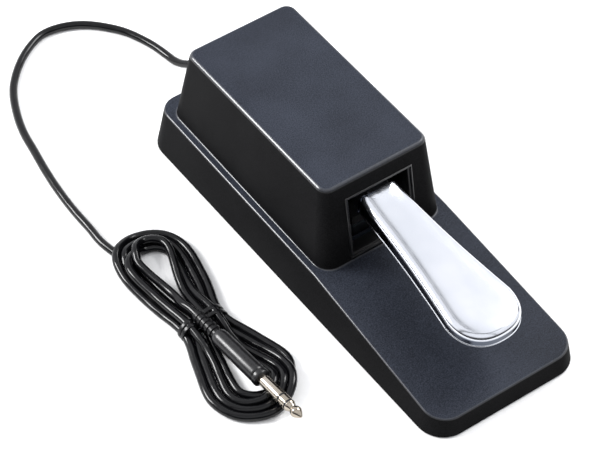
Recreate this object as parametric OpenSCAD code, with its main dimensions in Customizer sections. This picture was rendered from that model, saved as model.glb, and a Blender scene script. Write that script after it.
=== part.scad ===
// Sustain pedal for a keyboard: a low wedge base, a covered pedal mechanism and a tied signal lead.
// The toe end points towards -Y, up is +Z, and the origin is the middle of the footprint on the floor.
// Lengths are in millimetres and angles in degrees.

/* [Base] */
// Length of the base along the floor
base_l = 250; // [245:0.5:254]
// Width of the base along the floor
base_w = 90; // [88:0.5:93]
// Radius of the base's upright corners
base_corner = 14.5; // [12:0.5:16]
// Height of the deck at the toe end
deck_front = 11.6; // [11:0.1:12.6]
// Height of the deck where its slope changes
deck_bend = 23.4; // [23:0.1:24]
// Height of the deck at the rear end
deck_rear = 25.8; // [25.4:0.1:26.4]
// Distance of the change of slope from the middle, towards the toe
bend_back = 19; // [17:0.5:21]
// Wall thickness of the mouldings
wall = 2.5; // [2.2:0.1:2.8]

/* [Cover] */
// Height of the cover's top above the floor
cover_h = 72; // [71.5:0.1:74]
// Width of the cover at its foot
cover_w = 74.7; // [74:0.1:76]
// Width of the cover at its top
cover_top_w = 64.2; // [64:0.1:66]
// Width of the opening for the pedal
slot_w = 36; // [34:0.5:37]
// Height of the opening for the pedal, along the sloping front
slot_h = 33.5; // [33:0.1:34]

/* [Pedal] */
// Travel of the pedal, as an angle
travel = 7.5; // [6:0.5:7.5]
// Slope of the pedal at rest
tilt = 5.6; // [5.4:0.1:5.8]
// Half-width of the chrome plate at its rear end
toe_neck = 11.2; // [10.9:0.1:11.4]
// Half-width of the chrome plate at its toe
toe_half = 19.5; // [18:0.5:20]
// Distance of the toe's tip from the pivot
toe_reach = 188.9; // [186:0.1:190]

/* [Lead] */
// Diameter of the signal lead
cord_d = 4.4; // [4:0.1:4.5]
// Height of the lead's outlet
outlet_z = 10; // [9.5:0.1:10.5]

/* [Hidden] */
$fn = 48;
hull_fn = 32;
slice = 0.01;
far = 300;

// Base: outer draft, the foot's lift off the floor, and the hollow under the deck
draft = tan(10);
foot_z = 0.8;
half_l = base_l / 2;
half_w = base_w / 2;
bend_y = -bend_back;
sole_t = 2;
plate_t = 2;
plate_z = sole_t + plate_t;
ledge = 3.9;
recess = 2.6;
deck_hole_x = 25;
deck_hole_y = [-10, 97];
boss_x = 34;
plate_screw_y = [-105, 4, 108.5];
cover_screw_x = 29.5;
cover_screw_y = [-11, 102];
plate_boss_d = 7;
plate_hole_d = 3.1;
cover_boss_z = 19;
cover_hole_d = 3.3;
clamp_screw_x = 7;
clamp_y = 104;
clamp_h = 11;
bracket_screw_x = 11;
bracket_screw_y = [30, 86];

// Cover: its footprint is taken at floor_cut, below the deck, and the deck's slope cuts it off
floor_cut = 20;
cover_foot_y = [-23, 114.6];
cover_top_y = [-13.8, 104.5];
cover_corner = 8.8;
cover_top_corner = 5.8;
front_y = -22.4;
front_z = 23.4;
front_lean = atan((cover_top_y[0] - front_y) / (cover_h - front_z));
frame_lip = 2.4;
slot_z0 = 3.4;

// Pedal: pivot, layers of the arm and plate above the pivot's axis, and the quadrant
pivot = [0, 72, 58];
pin_d = 6;
plate_top = 7.5;
sheet = 1.6;
arm_top = plate_top - sheet;
arm_half = 9;
arm_t = 2;
arm_drop = 6;
plate_rear = 87;
toe_r = 20.4;
skirt_rear = 10.5;
skirt_toe = 7.2;
stud_at = [112, 146];
cheek_in = 15;
cheek_t = 2;
quadrant_screw_at = [26, 33];
quadrant_hole_r = 1.3;
spring_at = 58;
spring_y = pivot[1] - spring_at * cos(tilt);
spring_z0 = 24;
spring_z1 = 52.5;
stop_gap = 0.2;

// Gears: the pinion stands in line with the arm, one pitch circle away from the quadrant. The tooth
// counts are for full circles, and the sensor turns five times as far as the pedal.
gear_module = 1;
quadrant_teeth = 80;
pinion_teeth = 16;
quadrant_r = gear_module * quadrant_teeth / 2;
pinion_r = gear_module * pinion_teeth / 2;
gear_centre = quadrant_r + pinion_r;
sensor_at = [0, pivot[1] - gear_centre * cos(tilt), pivot[2] - gear_centre * sin(tilt)];
tooth_add = 0.85 * gear_module;
tooth_ded = 1.15 * gear_module;
tooth_w = 1.2 * gear_module;

// Lead: outlet, the route along the floor, the hank and the plug
outlet_y = half_l - 0.4;
relief_l = 18;
cord_r = cord_d / 2;
lead_route = [[0, 143, 10], [-0.5, 149, 8.4], [-2, 155, 5.2], [-3, 161, 3], [-3.5, 167, 2.2],
    [-6, 180, 2.2], [-12, 195.5, 2.2], [-20.5, 207, 2.2], [-29, 214.5, 2.2], [-39, 219, 2.2],
    [-50, 220, 2.2], [-61, 215.5, 2.2], [-71, 208.5, 2.2], [-80.5, 199, 2.2], [-87, 189.5, 2.2],
    [-93, 176, 2.2], [-97, 163, 2.2], [-99.5, 148.5, 2.2], [-102, 134, 2.2], [-104, 118, 2.2],
    [-105, 102, 2.2], [-105, 87, 2.2], [-105, 73, 2.2], [-105, 62, 2.2]];
hank_rear = [-90.5, 49.5];
hank_rear_r = 20.5;
hank_toe = [-94.7, -40.5];
hank_toe_r = 24.7;
hank_waist = [-94, 1];
hank_waist_r = 12.8;
hank_h = 5;
waist_h = 8.6;
plug_at = [-96.2, 3, 10];
plug_turn = 3.5;
relief_end = 17;
handle_end = 49;
collar_end = 52;
jack_r = 3.175;
sleeve_l = 14.5;
insulator_l = 1;
ring_l = 4;
tip_l = 9.7;
ring_z = collar_end + sleeve_l + insulator_l;
tip_z = ring_z + ring_l + insulator_l;

wire_pitch = 1.3;
terminal_pitch = 4;
wire_route = [[0, 97.5, 10], [2, 95.5, 9], [9, 95.5, 8], [17, 94, 8], [21.5, 87, 9], [21.5, 74, 12],
    [21.5, 61, 19], [21.5, 47, 27], [21.5, 34, 33.5], [21.5, sensor_at[1], 37.6]];

function deck_z(y) = y < bend_y
    ? deck_front + (deck_bend - deck_front) * (y + half_l) / (bend_y + half_l)
    : deck_bend + (deck_rear - deck_bend) * (y - bend_y) / (half_l - bend_y);
// Height of the line along the arm that lies w above the pivot, at an angle a below rest-level
function arm_line(y, w, a) = pivot[2] + (y - pivot[1]) * tan(a) + w / cos(a);

// ---- General shapes ----

// Draws a side view given as [y, z] points across the width w
module side(w) {
    rotate([90, 0, 90]) translate([0, 0, -w / 2]) linear_extrude(w) children();
}

// A cylinder along X from x0 to x1
module along_x(x0, x1, r) {
    translate([x0, 0, 0]) rotate([0, 90, 0]) cylinder(h = x1 - x0, r = r);
}

// A cylinder or cone along Y from y0 to y1
module along_y(y0, y1, r0, r1) {
    translate([0, y0, 0]) rotate([-90, 0, 0]) cylinder(h = y1 - y0, r1 = r0, r2 = r1);
}

// A thin slice of a rounded rectangle at the height z
module outline_at(hw, y0, y1, r, z) {
    for (x = [-hw + r, hw - r], y = [y0 + r, y1 - r])
        translate([x, y, z]) cylinder(h = slice, r = r, $fn = hull_fn);
}

// The region below the deck, lowered by drop
module under_deck(drop) {
    side(far) polygon([[-far, -far], [far, -far], [far, deck_z(half_l) - drop],
        [half_l, deck_z(half_l) - drop], [bend_y, deck_z(bend_y) - drop],
        [-half_l, deck_z(-half_l) - drop], [-far, deck_z(-half_l) - drop]]);
}

function unit(v) = v / norm(v);
function catmull(p0, p1, p2, p3, t) = 0.5 * (2 * p1 + (p2 - p0) * t
    + (2 * p0 - 5 * p1 + 4 * p2 - p3) * t * t + (3 * p1 - p0 - 3 * p2 + p3) * t * t * t);
// A smooth curve through the route's points with a number of steps between each two
function smooth(route, steps) = let (n = len(route) - 1) concat(
    [for (i = [0:n - 1], k = [0:steps - 1]) catmull(route[max(i - 1, 0)], route[i], route[i + 1],
        route[min(i + 2, n)], k / steps)], [route[n]]);
function heading(path, i) = unit(path[min(i + 1, len(path) - 1)] - path[max(i - 1, 0)]);

// Joins rings of points, each of the same count, into one closed solid
module loft(rings) {
    m = len(rings[0]);
    n = len(rings);
    walls = [for (i = [0:n - 2], j = [0:m - 1]) let (k = (j + 1) % m)
        each [[i * m + j, (i + 1) * m + j, (i + 1) * m + k], [i * m + j, (i + 1) * m + k, i * m + k]]];
    ends = [[for (j = [0:m - 1]) j], [for (j = [m - 1:-1:0]) (n - 1) * m + j]];
    polyhedron(points = [for (ring = rings) each ring], faces = concat(walls, ends), convexity = 10);
}

// A round tube of radius r along a path, with a side vector that is never in line with it
module tube(path, r, sides, up) {
    loft([for (i = [0:len(path) - 1])
        let (t = heading(path, i), a = unit(cross(t, up)), b = cross(t, a))
        [for (j = [0:sides - 1]) let (q = 360 * j / sides) path[i] + r * (cos(q) * a + sin(q) * b)]]);
}

// A pan-head screw whose shank points up from the origin, with its head below it
module screw_up(shank_d, shank_l, head_d, head_h) {
    difference() {
        translate([0, 0, -head_h]) cylinder(h = head_h, d = head_d);
        translate([0, 0, -head_h - 1]) cylinder(h = 1 + head_h / 2, d = head_d * 0.45, $fn = 6);
    }
    cylinder(h = shank_l, d = shank_d);
}

// ---- Base ----

module plate_screw_places() {
    for (x = [-boss_x, boss_x], y = plate_screw_y) translate([x, y, 0]) children();
}

module cover_screw_places() {
    for (x = [-cover_screw_x, cover_screw_x], y = cover_screw_y) translate([x, y, 0]) children();
}

module clamp_screw_places() {
    for (x = [-clamp_screw_x, clamp_screw_x]) translate([x, clamp_y, 0]) children();
}

module bracket_screw_places() {
    for (x = [-bracket_screw_x, bracket_screw_x], y = bracket_screw_y) translate([x, y, 0]) children();
}

// A drafted block with the base's outline, drawn in by inset
module drafted_base(inset, z0, z1) {
    in0 = inset + draft * (z0 - foot_z);
    in1 = inset + draft * (z1 - foot_z);
    hull() {
        outline_at(half_w - in0, -half_l + in0, half_l - in0, base_corner - in0, z0);
        outline_at(half_w - in1, -half_l + in1, half_l - in1, max(base_corner - in1, 2), z1 - slice);
    }
}

// A flat rounded sheet under the base, drawn in by inset
module floor_sheet(inset, z0, t) {
    r = base_corner - inset;
    hull() for (x = [-half_w + inset + r, half_w - inset - r], y = [-half_l + inset + r, half_l - inset - r])
        translate([x, y, z0]) cylinder(h = t, r = r, $fn = hull_fn);
}

module base() {
    color("#3c3e45") difference() {
        union() {
            intersection() {
                difference() {
                    drafted_base(0, foot_z, 30);
                    intersection() {
                        drafted_base(ledge, plate_z, 30);
                        under_deck(wall);
                    }
                }
                under_deck(0);
            }
            intersection() {
                plate_screw_places() translate([0, 0, plate_z]) cylinder(h = far, d = plate_boss_d);
                under_deck(wall / 2);
            }
            intersection() {
                cover_screw_places() translate([0, 0, cover_boss_z]) cylinder(h = far, d = 9);
                under_deck(wall / 2);
            }
            translate([0, 0, outlet_z]) along_y(outlet_y - 6.6, outlet_y, 7.2, 7.2);
        }
        floor_sheet(recess, -1, plate_z + 1);
        translate([-deck_hole_x, deck_hole_y[0], plate_z])
            cube([2 * deck_hole_x, deck_hole_y[1] - deck_hole_y[0], far]);
        plate_screw_places() translate([0, 0, -1]) cylinder(h = 9.6, d = plate_hole_d);
        cover_screw_places() translate([0, 0, -1]) cylinder(h = far, d = cover_hole_d);
        translate([0, 0, outlet_z]) along_y(outlet_y - 9, outlet_y + 1, 4.6, 4.6);
    }
}

module bottom_plate() {
    color("#8d9196") difference() {
        floor_sheet(recess + 0.2, sole_t, plate_t);
        plate_screw_places() cylinder(h = far, d = 3.4);
        bracket_screw_places() cylinder(h = far, d = 4.3);
        clamp_screw_places() cylinder(h = far, d = 2.6);
    }
}

module rubber_sole() {
    color("#1b1b1c") difference() {
        floor_sheet(3.6, 0, sole_t);
        plate_screw_places() translate([0, 0, -1]) cylinder(h = far, d = plate_boss_d);
        bracket_screw_places() translate([0, 0, -1]) cylinder(h = far, d = 9.4);
    }
}

module plate_screws() {
    color("#b9bcc0") plate_screw_places() translate([0, 0, sole_t]) screw_up(3, 6, 5.6, 1.6);
}

module bracket_screws() {
    color("#b9bcc0") bracket_screw_places() translate([0, 0, sole_t]) screw_up(4, 6, 7.6, 1.6);
}

// ---- Cover ----

// The cover's tapering block, drawn in by inset and lowered at the top
module cover_block(inset, top) {
    hull() {
        outline_at(cover_w / 2 - inset, cover_foot_y[0] + inset, cover_foot_y[1] - inset,
            cover_corner - inset, floor_cut);
        outline_at(cover_top_w / 2 - inset, cover_top_y[0] + inset, cover_top_y[1] - inset,
            cover_top_corner - inset, top - slice);
    }
}

// Places a shape on the cover's sloping front: x across, z up the slope, y inwards
module on_front() {
    translate([0, front_y, front_z]) rotate([-front_lean, 0, 0]) children();
}

module cover() {
    boss_top = 46;
    rib = [12, 16, 6];
    color("#46484f") difference() {
        union() {
            difference() {
                cover_block(0, cover_h);
                cover_block(wall, cover_h - wall);
            }
            cover_screw_places() translate([0, 0, floor_cut]) cylinder(h = boss_top - floor_cut, d = 8);
            translate([-rib[0] / 2, 13, cover_h - wall - rib[2]]) cube([rib[0], rib[1], rib[2] + wall / 2]);
        }
        under_deck(0);
        on_front() translate([-slot_w / 2 - frame_lip, -5, slot_z0 - frame_lip])
            cube([slot_w + 2 * frame_lip, 12, slot_h + 2 * frame_lip]);
        cover_screw_places() cylinder(h = boss_top - 6, d = 3.1);
    }
}

module cover_screws() {
    color("#b9bcc0") cover_screw_places() translate([0, 0, cover_boss_z]) screw_up(3, 18, 5.6, 1.8);
}

// A rectangular sleeve that lines the opening, with a sloping lead-in at its mouth
module slot_frame() {
    gap = 0.1;
    lip = frame_lip - gap;
    depth = 8;
    color("#26262a") on_front() difference() {
        translate([-slot_w / 2 - lip, 0.5, slot_z0 - lip]) cube([slot_w + 2 * lip, depth, slot_h + 2 * lip]);
        translate([-slot_w / 2, -1, slot_z0]) cube([slot_w, depth + 4, slot_h]);
        translate([-slot_w / 2 - 1, -1, slot_z0 - 1]) cube([slot_w + 2, 2.5, slot_h + 2]);
        rotate([front_lean, 0, 0]) translate([0, -front_y, -front_z]) under_deck(-gap);
    }
}

// ---- Pivot and stops ----

module at_pivot() {
    translate(pivot) rotate([tilt, 0, 0]) children();
}

module pivot_bracket() {
    cheek = [[8, sole_t + plate_t], [92, sole_t + plate_t], [92, 16], [82, 60], [79, 66], [65, 66],
        [33, 63], [16, 63], [14, 46], [8, 16]];
    tab_y = -8;
    shelf_z = 28;
    color("#9aa0a6") difference() {
        union() {
            difference() {
                side(2 * (cheek_in + cheek_t)) polygon(cheek);
                side(2 * cheek_in) polygon([[-far, plate_z + cheek_t], [far, plate_z + cheek_t], [far, far],
                    [-far, far]]);
            }
            side(18) polygon([[tab_y, plate_z], [9, plate_z], [9, plate_z + cheek_t],
                [tab_y + cheek_t, plate_z + cheek_t], [tab_y + cheek_t, shelf_z - cheek_t],
                [6, shelf_z - cheek_t], [6, shelf_z], [tab_y, shelf_z]]);
        }
        bracket_screw_places() cylinder(h = 10, d = 4.1);
        translate(pivot) along_x(-far, far, pin_d / 2 + 0.05);
        translate(sensor_at) along_x(0, far, 3.55);
        translate([0, spring_y, 0]) cylinder(h = 10, d = 6.1);
    }
}

module pivot_pin() {
    color("#c9ccd0") translate(pivot) difference() {
        along_x(-19.5, 19.5, pin_d / 2);
        for (s = [0, 180]) rotate([0, 0, s]) difference() {
            along_x(17.1, 18, pin_d);
            along_x(17, 18.1, 2.4);
        }
    }
}

module pin_clips() {
    color("#5c5f64") translate(pivot) for (s = [0, 180]) rotate([0, 0, s]) difference() {
        along_x(17.15, 17.95, 5.5);
        along_x(17, 18.1, 2.45);
        translate([17, -1.9, -10]) cube([1.2, 3.8, 10]);
    }
}

module spring_post() {
    color("#e4e0d4") translate([0, spring_y, plate_z]) {
        cylinder(h = cheek_t, d = 6);
        translate([0, 0, cheek_t]) cylinder(h = 2, d = 18);
        translate([0, 0, cheek_t]) cylinder(h = spring_z0 - plate_z - cheek_t, d = 13.6);
        translate([0, 0, cheek_t]) cylinder(h = spring_z0 - plate_z + 4, d = 7.4);
    }
}

// A compression spring with closed end turns, standing on its post
module return_spring() {
    wire = 1.4;
    mean_r = 5;
    turns = 8;
    steps = 14;
    n = turns * steps;
    h = spring_z1 - spring_z0 - wire;
    // The pitch is close in the first and the last turn, and even between them
    function lift(t) = t < 1 ? t * wire * 1.05 : t > turns - 1 ? h - (turns - t) * wire * 1.05
        : wire * 1.05 + (t - 1) / (turns - 2) * (h - 2 * wire * 1.05);
    color("#a8acb1") translate([0, spring_y, spring_z0 + wire / 2])
        tube([for (i = [0:n]) let (q = 360 * i / steps)
            [mean_r * cos(q), mean_r * sin(q), lift(i / steps)]], wire / 2, 8, [0, 0, 1]);
}

module upper_stop_pad() {
    bottom = cover_h - wall - 6;
    color("#55585c") side(12) polygon([[14, arm_line(14, arm_top, tilt) + stop_gap],
        [28, arm_line(28, arm_top, tilt) + stop_gap], [28, bottom], [14, bottom]]);
}

module lower_stop_pad() {
    a = tilt + travel;
    color("#1f1f20") side(18) polygon([[-7, 28], [5, 28], [5, arm_line(5, -arm_drop, a) - stop_gap],
        [-7, arm_line(-7, -arm_drop, a) - stop_gap]]);
}

// ---- Sensor ----

module sensor_body() {
    color("#2b4a3a") translate(sensor_at) difference() {
        union() {
            along_x(13.1, 18, 3.5);
            along_x(cheek_in + cheek_t, 25.5, 8.2);
            translate([19.5, -6, -13]) cube([4, 12, 8]);
        }
        along_x(0, 23, 2.05);
    }
}

module sensor_nut() {
    color("#c3c6c9") translate(sensor_at) difference() {
        translate([13.2, 0, 0]) rotate([0, 90, 0]) cylinder(h = 1.8, r = 5.7, $fn = 6);
        along_x(12, 16, 3.55);
    }
}

module sensor_terminals() {
    color("#c9a86a") for (i = [-1:1]) translate(sensor_at + [21.2, terminal_pitch * i - 0.6, -15.5])
        cube([0.6, 1.2, 2.5]);
}

// Three wires that leave the lead side by side and part at the sensor's terminals
module sensor_wires() {
    wire_colours = ["#b3261e", "#e8e4d8", "#1c1c1c"];
    last = len(wire_route) - 1;
    for (i = [-1:1]) color(wire_colours[i + 1])
        tube(smooth([for (k = [0:last]) let (t = k / last)
            wire_route[k] + i * [wire_pitch * (1 - pow(t, 4)), terminal_pitch * pow(t, 4),
            wire_pitch * (1 - t * t)]], 3), 0.55, 6, [0, 0, 1]);
}

module sensor_shaft() {
    color("#d0d2d4") translate(sensor_at) along_x(9.6, 22, 2);
}

// A gear tooth's corner at radius r, on one side of the tooth's middle
function tooth_angle(r, pitch_r) = (tooth_w / 2 - (r - pitch_r) * tan(20)) / r * 180 / PI;
function tooth(mid, pitch_r) = let (root = pitch_r - tooth_ded, tip = pitch_r + tooth_add,
    a = tooth_angle(root, pitch_r), b = tooth_angle(tip, pitch_r))
    [for (p = [[root, -a], [tip, -b], [tip, b], [root, a]]) p[0] * [cos(mid + p[1]), sin(mid + p[1])]];

module pinion() {
    step = 360 / pinion_teeth;
    color("#f0ede2") difference() {
        union() {
            translate(sensor_at + [11, 0, 0]) side(3)
                polygon([for (i = [0:pinion_teeth - 1]) each tooth(tilt + step * (i + 0.5), pinion_r)]);
            translate(sensor_at) along_x(9.5, 13, 4);
        }
        translate(sensor_at) along_x(0, 20, 2);
    }
}

// ---- Pedal ----

// The arm is a channel with its open side down, whose walls get lower under the chrome plate
module pedal_arm() {
    rear = 12;
    front = -160;
    profile = [[rear, arm_top], [front, arm_top], [front, 2], [-96, -2.2], [-82, -arm_drop],
        [rear, -arm_drop]];
    bend = 2;
    color("#3a3c40") at_pivot() difference() {
        intersection() {
            side(2 * arm_half) polygon(profile);
            translate([0, rear, 0]) rotate([90, 0, 0]) linear_extrude(rear - front)
                polygon([[-arm_half, -far], [arm_half, -far], [arm_half, arm_top - bend],
                    [arm_half - bend, arm_top], [bend - arm_half, arm_top], [-arm_half, arm_top - bend]]);
        }
        side(2 * (arm_half - arm_t)) polygon([[-far, -far], [far, -far], [far, arm_top - arm_t],
            [-far, arm_top - arm_t]]);
        along_x(-far, far, 4.5);
        for (y = stud_at) translate([0, -y, 0]) cylinder(h = 20, d = 4.2);
        for (y = quadrant_screw_at) translate([0, -y, 0]) along_x(0, far, quadrant_hole_r);
    }
}

// Half-width of the chrome plate a distance v in front of the pivot
function plate_half(v) = let (t = (v - plate_rear) / (toe_reach - toe_r - plate_rear))
    toe_neck + (toe_half - toe_neck) * t - 1.2 * sin(180 * t);
// The chrome plate's outline drawn in by d, anticlockwise from above, from its rear left corner
function plate_outline(d) = let (sides = 8, arc = 20, c = toe_reach - toe_r,
    right = [for (i = [sides:-1:0]) let (v = plate_rear + d + (c - plate_rear - d) * i / sides)
        [plate_half(v) - d, -v]],
    left = [for (i = [sides:-1:0]) [-right[i][0], right[i][1]]],
    toe = [for (i = [1:arc - 1]) let (q = 180 * i / arc) [-(toe_half - d) * squarer(cos(q)),
        -c - (toe_r - d) * squarer(sin(q))]])
    concat(left, toe, right);
// Draws a circle's sine or cosine outwards, for a toe slightly squarer than a circle
function squarer(s) = sign(s) * pow(abs(s), 0.86);
function skirt(y) = skirt_rear + (skirt_toe - skirt_rear) * (-y - plate_rear) / (toe_reach - plate_rear);
function ring_at(d, w) = [for (p = plate_outline(d)) [p[0], p[1], w]];
function ring_low(d, up) = [for (p = plate_outline(d)) [p[0], p[1], plate_top - skirt(p[1]) + up]];

// The chrome plate is a pressed shell: a flat top, a rolled edge, a skirt and a small turned-out lip
module pedal_plate() {
    lip = 0.5;
    roll = 3.6;
    edge = [for (q = [0:22.5:90]) [lip + roll * (1 - cos(q)), plate_top - roll * (1 - sin(q))]];
    in = lip + sheet;
    color("#e6e8ee") at_pivot() {
        difference() {
            loft(concat([ring_at(lip + roll, arm_top)],
                [ring_at(in + (roll - sheet) * 0.3, arm_top - (roll - sheet) * 0.3)],
                [ring_at(in, arm_top - (roll - sheet))], [ring_low(in, 0)], [ring_low(0.2, 0)],
                [ring_low(0, 0.4)], [ring_low(0, 0.9)], [ring_low(lip, 1.5)],
                [for (p = edge) ring_at(p[0], p[1])]));
            translate([-arm_half - 0.2, -plate_rear - 3, -far]) cube([2 * arm_half + 0.4, 4, far + arm_top]);
        }
        for (y = stud_at) translate([0, -y, arm_top - 7]) cylinder(h = 7.4, d = 4);
    }
}

module plate_nuts() {
    color("#b9bcc0") at_pivot() for (y = stud_at) translate([0, -y, arm_top - arm_t - 3.2]) difference() {
        cylinder(h = 3.2, r = 4.04, $fn = 6);
        translate([0, 0, -1]) cylinder(h = 6, d = 4.1);
    }
}

module arm_bushes() {
    color("#eceae0") at_pivot() for (s = [0, 180]) rotate([0, 0, s]) difference() {
        union() {
            along_x(arm_half - arm_t, arm_half + 1, 4.5);
            along_x(arm_half, cheek_in - 0.2, 6);
        }
        along_x(0, far, pin_d / 2 + 0.06);
    }
}

module quadrant() {
    step = 360 / quadrant_teeth;
    root = quadrant_r - tooth_ded;
    inner = 21;
    color("#f0ede2") at_pivot() difference() {
        translate([10.5, 0, 0]) side(3) polygon(concat(
            [for (k = [-3:1]) each tooth(180 + step * k, quadrant_r)],
            [root * [cos(188), sin(188)], inner * [cos(194), sin(194)], inner * [cos(164), sin(164)],
            root * [cos(163), sin(163)]]));
        for (y = quadrant_screw_at) translate([0, -y, 0]) along_x(0, far, quadrant_hole_r);
    }
}

module quadrant_screws() {
    color("#b9bcc0") at_pivot() for (y = quadrant_screw_at) translate([0, -y, 0]) {
        along_x(6.5, 12.5, 1.25);
        along_x(12, 13.4, 2.3);
    }
}

module spring_cup() {
    color("#e4e0d4") at_pivot() translate([0, -spring_at, arm_top - arm_t]) difference() {
        translate([0, 0, -3]) cylinder(h = 3, d = 13);
        translate([0, 0, -4]) cylinder(h = 2, d = 7);
    }
}

// ---- Lead ----

module strain_relief() {
    ribs = 5;
    color("#17171a") translate([0, outlet_y, outlet_z]) difference() {
        union() {
            along_y(-8.8, -6.7, 5.8, 5.8);
            along_y(-7, 0.5, 4.5, 4.5);
            along_y(0, 2, 6, 6);
            along_y(1.9, relief_l + 0.4, 3.6, 2.9);
            for (i = [0:ribs - 1]) translate([0, 4 + i * 2.9, 0]) along_y(0, 1.5, 4.5 - i * 0.2, 4.4 - i * 0.2);
        }
        along_y(-20, 30, cord_r + 0.05, cord_r + 0.05);
    }
}

module cord_tail() {
    color("#141416") translate([0, 0, outlet_z]) along_y(98, 143, cord_r, cord_r);
}

module cord_clamp() {
    color("#e4e0d4") difference() {
        translate([-10.5, clamp_y - 4, plate_z]) cube([21, 8, clamp_h]);
        translate([0, 0, outlet_z]) along_y(clamp_y - 10, clamp_y + 10, cord_r + 0.05, cord_r + 0.05);
        clamp_screw_places() cylinder(h = far, d = 2.6);
    }
}

module clamp_screws() {
    color("#b9bcc0") clamp_screw_places() translate([0, 0, plate_z + clamp_h]) rotate([180, 0, 0])
        screw_up(2.5, 12.5, 4.8, 1.6);
}

module cord_lead() {
    color("#141416") tube(smooth(lead_route, 2), cord_r, 10, [0, 0, 1]);
}

module cord_hank() {
    color("#141416") {
        linear_extrude(hank_h) {
            hull() {
                translate(hank_rear) circle(r = hank_rear_r, $fn = hull_fn);
                translate(hank_waist) circle(r = hank_waist_r, $fn = hull_fn);
            }
            hull() {
                translate(hank_toe) circle(r = hank_toe_r, $fn = hull_fn);
                translate(hank_waist) circle(r = hank_waist_r, $fn = hull_fn);
            }
        }
        translate([hank_waist[0] - hank_waist_r, hank_waist[1] - 5, 0]) cube([2 * hank_waist_r, 10, waist_h]);
    }
}

// A flat tie wrapped round the hank's waist
module twist_tie() {
    t = 0.9;
    w = 4;
    color("#1b1b1d") translate([hank_waist[0], hank_waist[1] - w / 2, 0]) difference() {
        translate([-hank_waist_r - t, 0, 0]) cube([2 * (hank_waist_r + t), w, waist_h + t]);
        translate([-hank_waist_r, -1, t]) cube([2 * hank_waist_r, w + 2, waist_h - t]);
    }
}

// Places a shape drawn along +Z on the plug's axis, from the rear of its strain relief
module on_plug() {
    translate(plug_at) rotate([90, 0, plug_turn]) children();
}

module plug_relief() {
    ribs = 5;
    color("#17171a") on_plug() {
        cylinder(h = relief_end, r1 = 2.7, r2 = 3.1);
        for (i = [0:ribs - 1]) translate([0, 0, 1.5 + i * 3]) cylinder(h = 1.6, r = 3.6 + i * 0.1);
    }
}

module plug_handle() {
    color("#1d1d20") on_plug() {
        translate([0, 0, relief_end]) cylinder(h = 3, r1 = 3.9, r2 = 4.5);
        translate([0, 0, relief_end + 3]) cylinder(h = handle_end - relief_end - 3, r1 = 4.5, r2 = 4.7);
    }
}

module plug_collar() {
    color("#2a2a2d") on_plug() translate([0, 0, handle_end]) cylinder(h = collar_end - handle_end, r = 4.9);
}

module plug_sleeve() {
    color("#cfc8ba") on_plug() translate([0, 0, collar_end]) cylinder(h = sleeve_l, r = jack_r);
}

module plug_insulators() {
    color("#161616") on_plug() for (z = [collar_end + sleeve_l, ring_z + ring_l])
        translate([0, 0, z]) cylinder(h = insulator_l, r = jack_r);
}

module plug_ring() {
    color("#cfc8ba") on_plug() translate([0, 0, ring_z]) cylinder(h = ring_l, r = jack_r);
}

module plug_tip() {
    profile = [[0, 0], [jack_r, 0], [jack_r, 0.8], [2.2, 2.8], [2.2, 3.4], [2.9, 4.3], [3.05, 5.2],
        [2.8, 6.2], [1.2, 9], [0.7, 9.5], [0, tip_l]];
    color("#cfc8ba") on_plug() translate([0, 0, tip_z]) rotate_extrude() polygon(profile);
}

base();
cover();
slot_frame();
bottom_plate();
rubber_sole();
plate_screws();
cover_screws();
pivot_bracket();
bracket_screws();
pivot_pin();
pin_clips();
return_spring();
spring_post();
upper_stop_pad();
lower_stop_pad();
sensor_body();
sensor_nut();
sensor_terminals();
sensor_wires();
strain_relief();
cord_tail();
cord_clamp();
clamp_screws();
pedal_arm();
pedal_plate();
plate_nuts();
arm_bushes();
quadrant();
quadrant_screws();
spring_cup();
sensor_shaft();
pinion();
cord_lead();
cord_hank();
twist_tie();
plug_relief();
plug_handle();
plug_collar();
plug_sleeve();
plug_insulators();
plug_ring();
plug_tip();
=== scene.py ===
import logging
import math
from contextlib import contextmanager
from dataclasses import dataclass
from enum import Enum
from typing import Any, Callable, Iterator, Sequence

import bmesh
import bpy
import numpy as np
from mathutils import Matrix, Vector


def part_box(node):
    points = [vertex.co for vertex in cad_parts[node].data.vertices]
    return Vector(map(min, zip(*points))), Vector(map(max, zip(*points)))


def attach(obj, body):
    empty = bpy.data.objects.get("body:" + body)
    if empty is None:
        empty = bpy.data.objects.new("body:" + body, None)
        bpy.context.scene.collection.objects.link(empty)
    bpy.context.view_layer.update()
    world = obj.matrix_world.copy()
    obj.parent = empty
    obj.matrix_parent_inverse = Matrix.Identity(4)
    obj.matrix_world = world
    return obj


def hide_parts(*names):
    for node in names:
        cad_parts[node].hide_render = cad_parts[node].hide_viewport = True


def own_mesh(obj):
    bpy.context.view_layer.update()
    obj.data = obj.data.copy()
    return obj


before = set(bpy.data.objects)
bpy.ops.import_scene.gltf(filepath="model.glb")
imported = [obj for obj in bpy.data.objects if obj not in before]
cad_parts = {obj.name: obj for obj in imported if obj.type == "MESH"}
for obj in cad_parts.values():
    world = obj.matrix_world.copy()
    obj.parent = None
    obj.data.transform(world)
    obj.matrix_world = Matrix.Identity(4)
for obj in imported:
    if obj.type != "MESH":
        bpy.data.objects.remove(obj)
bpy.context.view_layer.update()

LOG = logging.getLogger("sustain_pedal")
MM = 0.001
WELD_GAP = 0.00001  # metres, within which two points are one
Station = tuple[float, float]


class Pick(Enum):
    """The kinds of mesh element that a step in edit mode can select."""

    VERTS = "VERT"
    EDGES = "EDGE"
    FACES = "FACE"


# ---- Working by operator ----


def take_up(piece: bpy.types.Object) -> bpy.types.Object:
    """Makes a piece the only one selected, and the active one.

    Args:
        piece: the object to work on.

    Returns:
        The same object.
    """
    bpy.ops.object.select_all(action="DESELECT")
    piece.select_set(True)
    bpy.context.view_layer.objects.active = piece
    return piece


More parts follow.
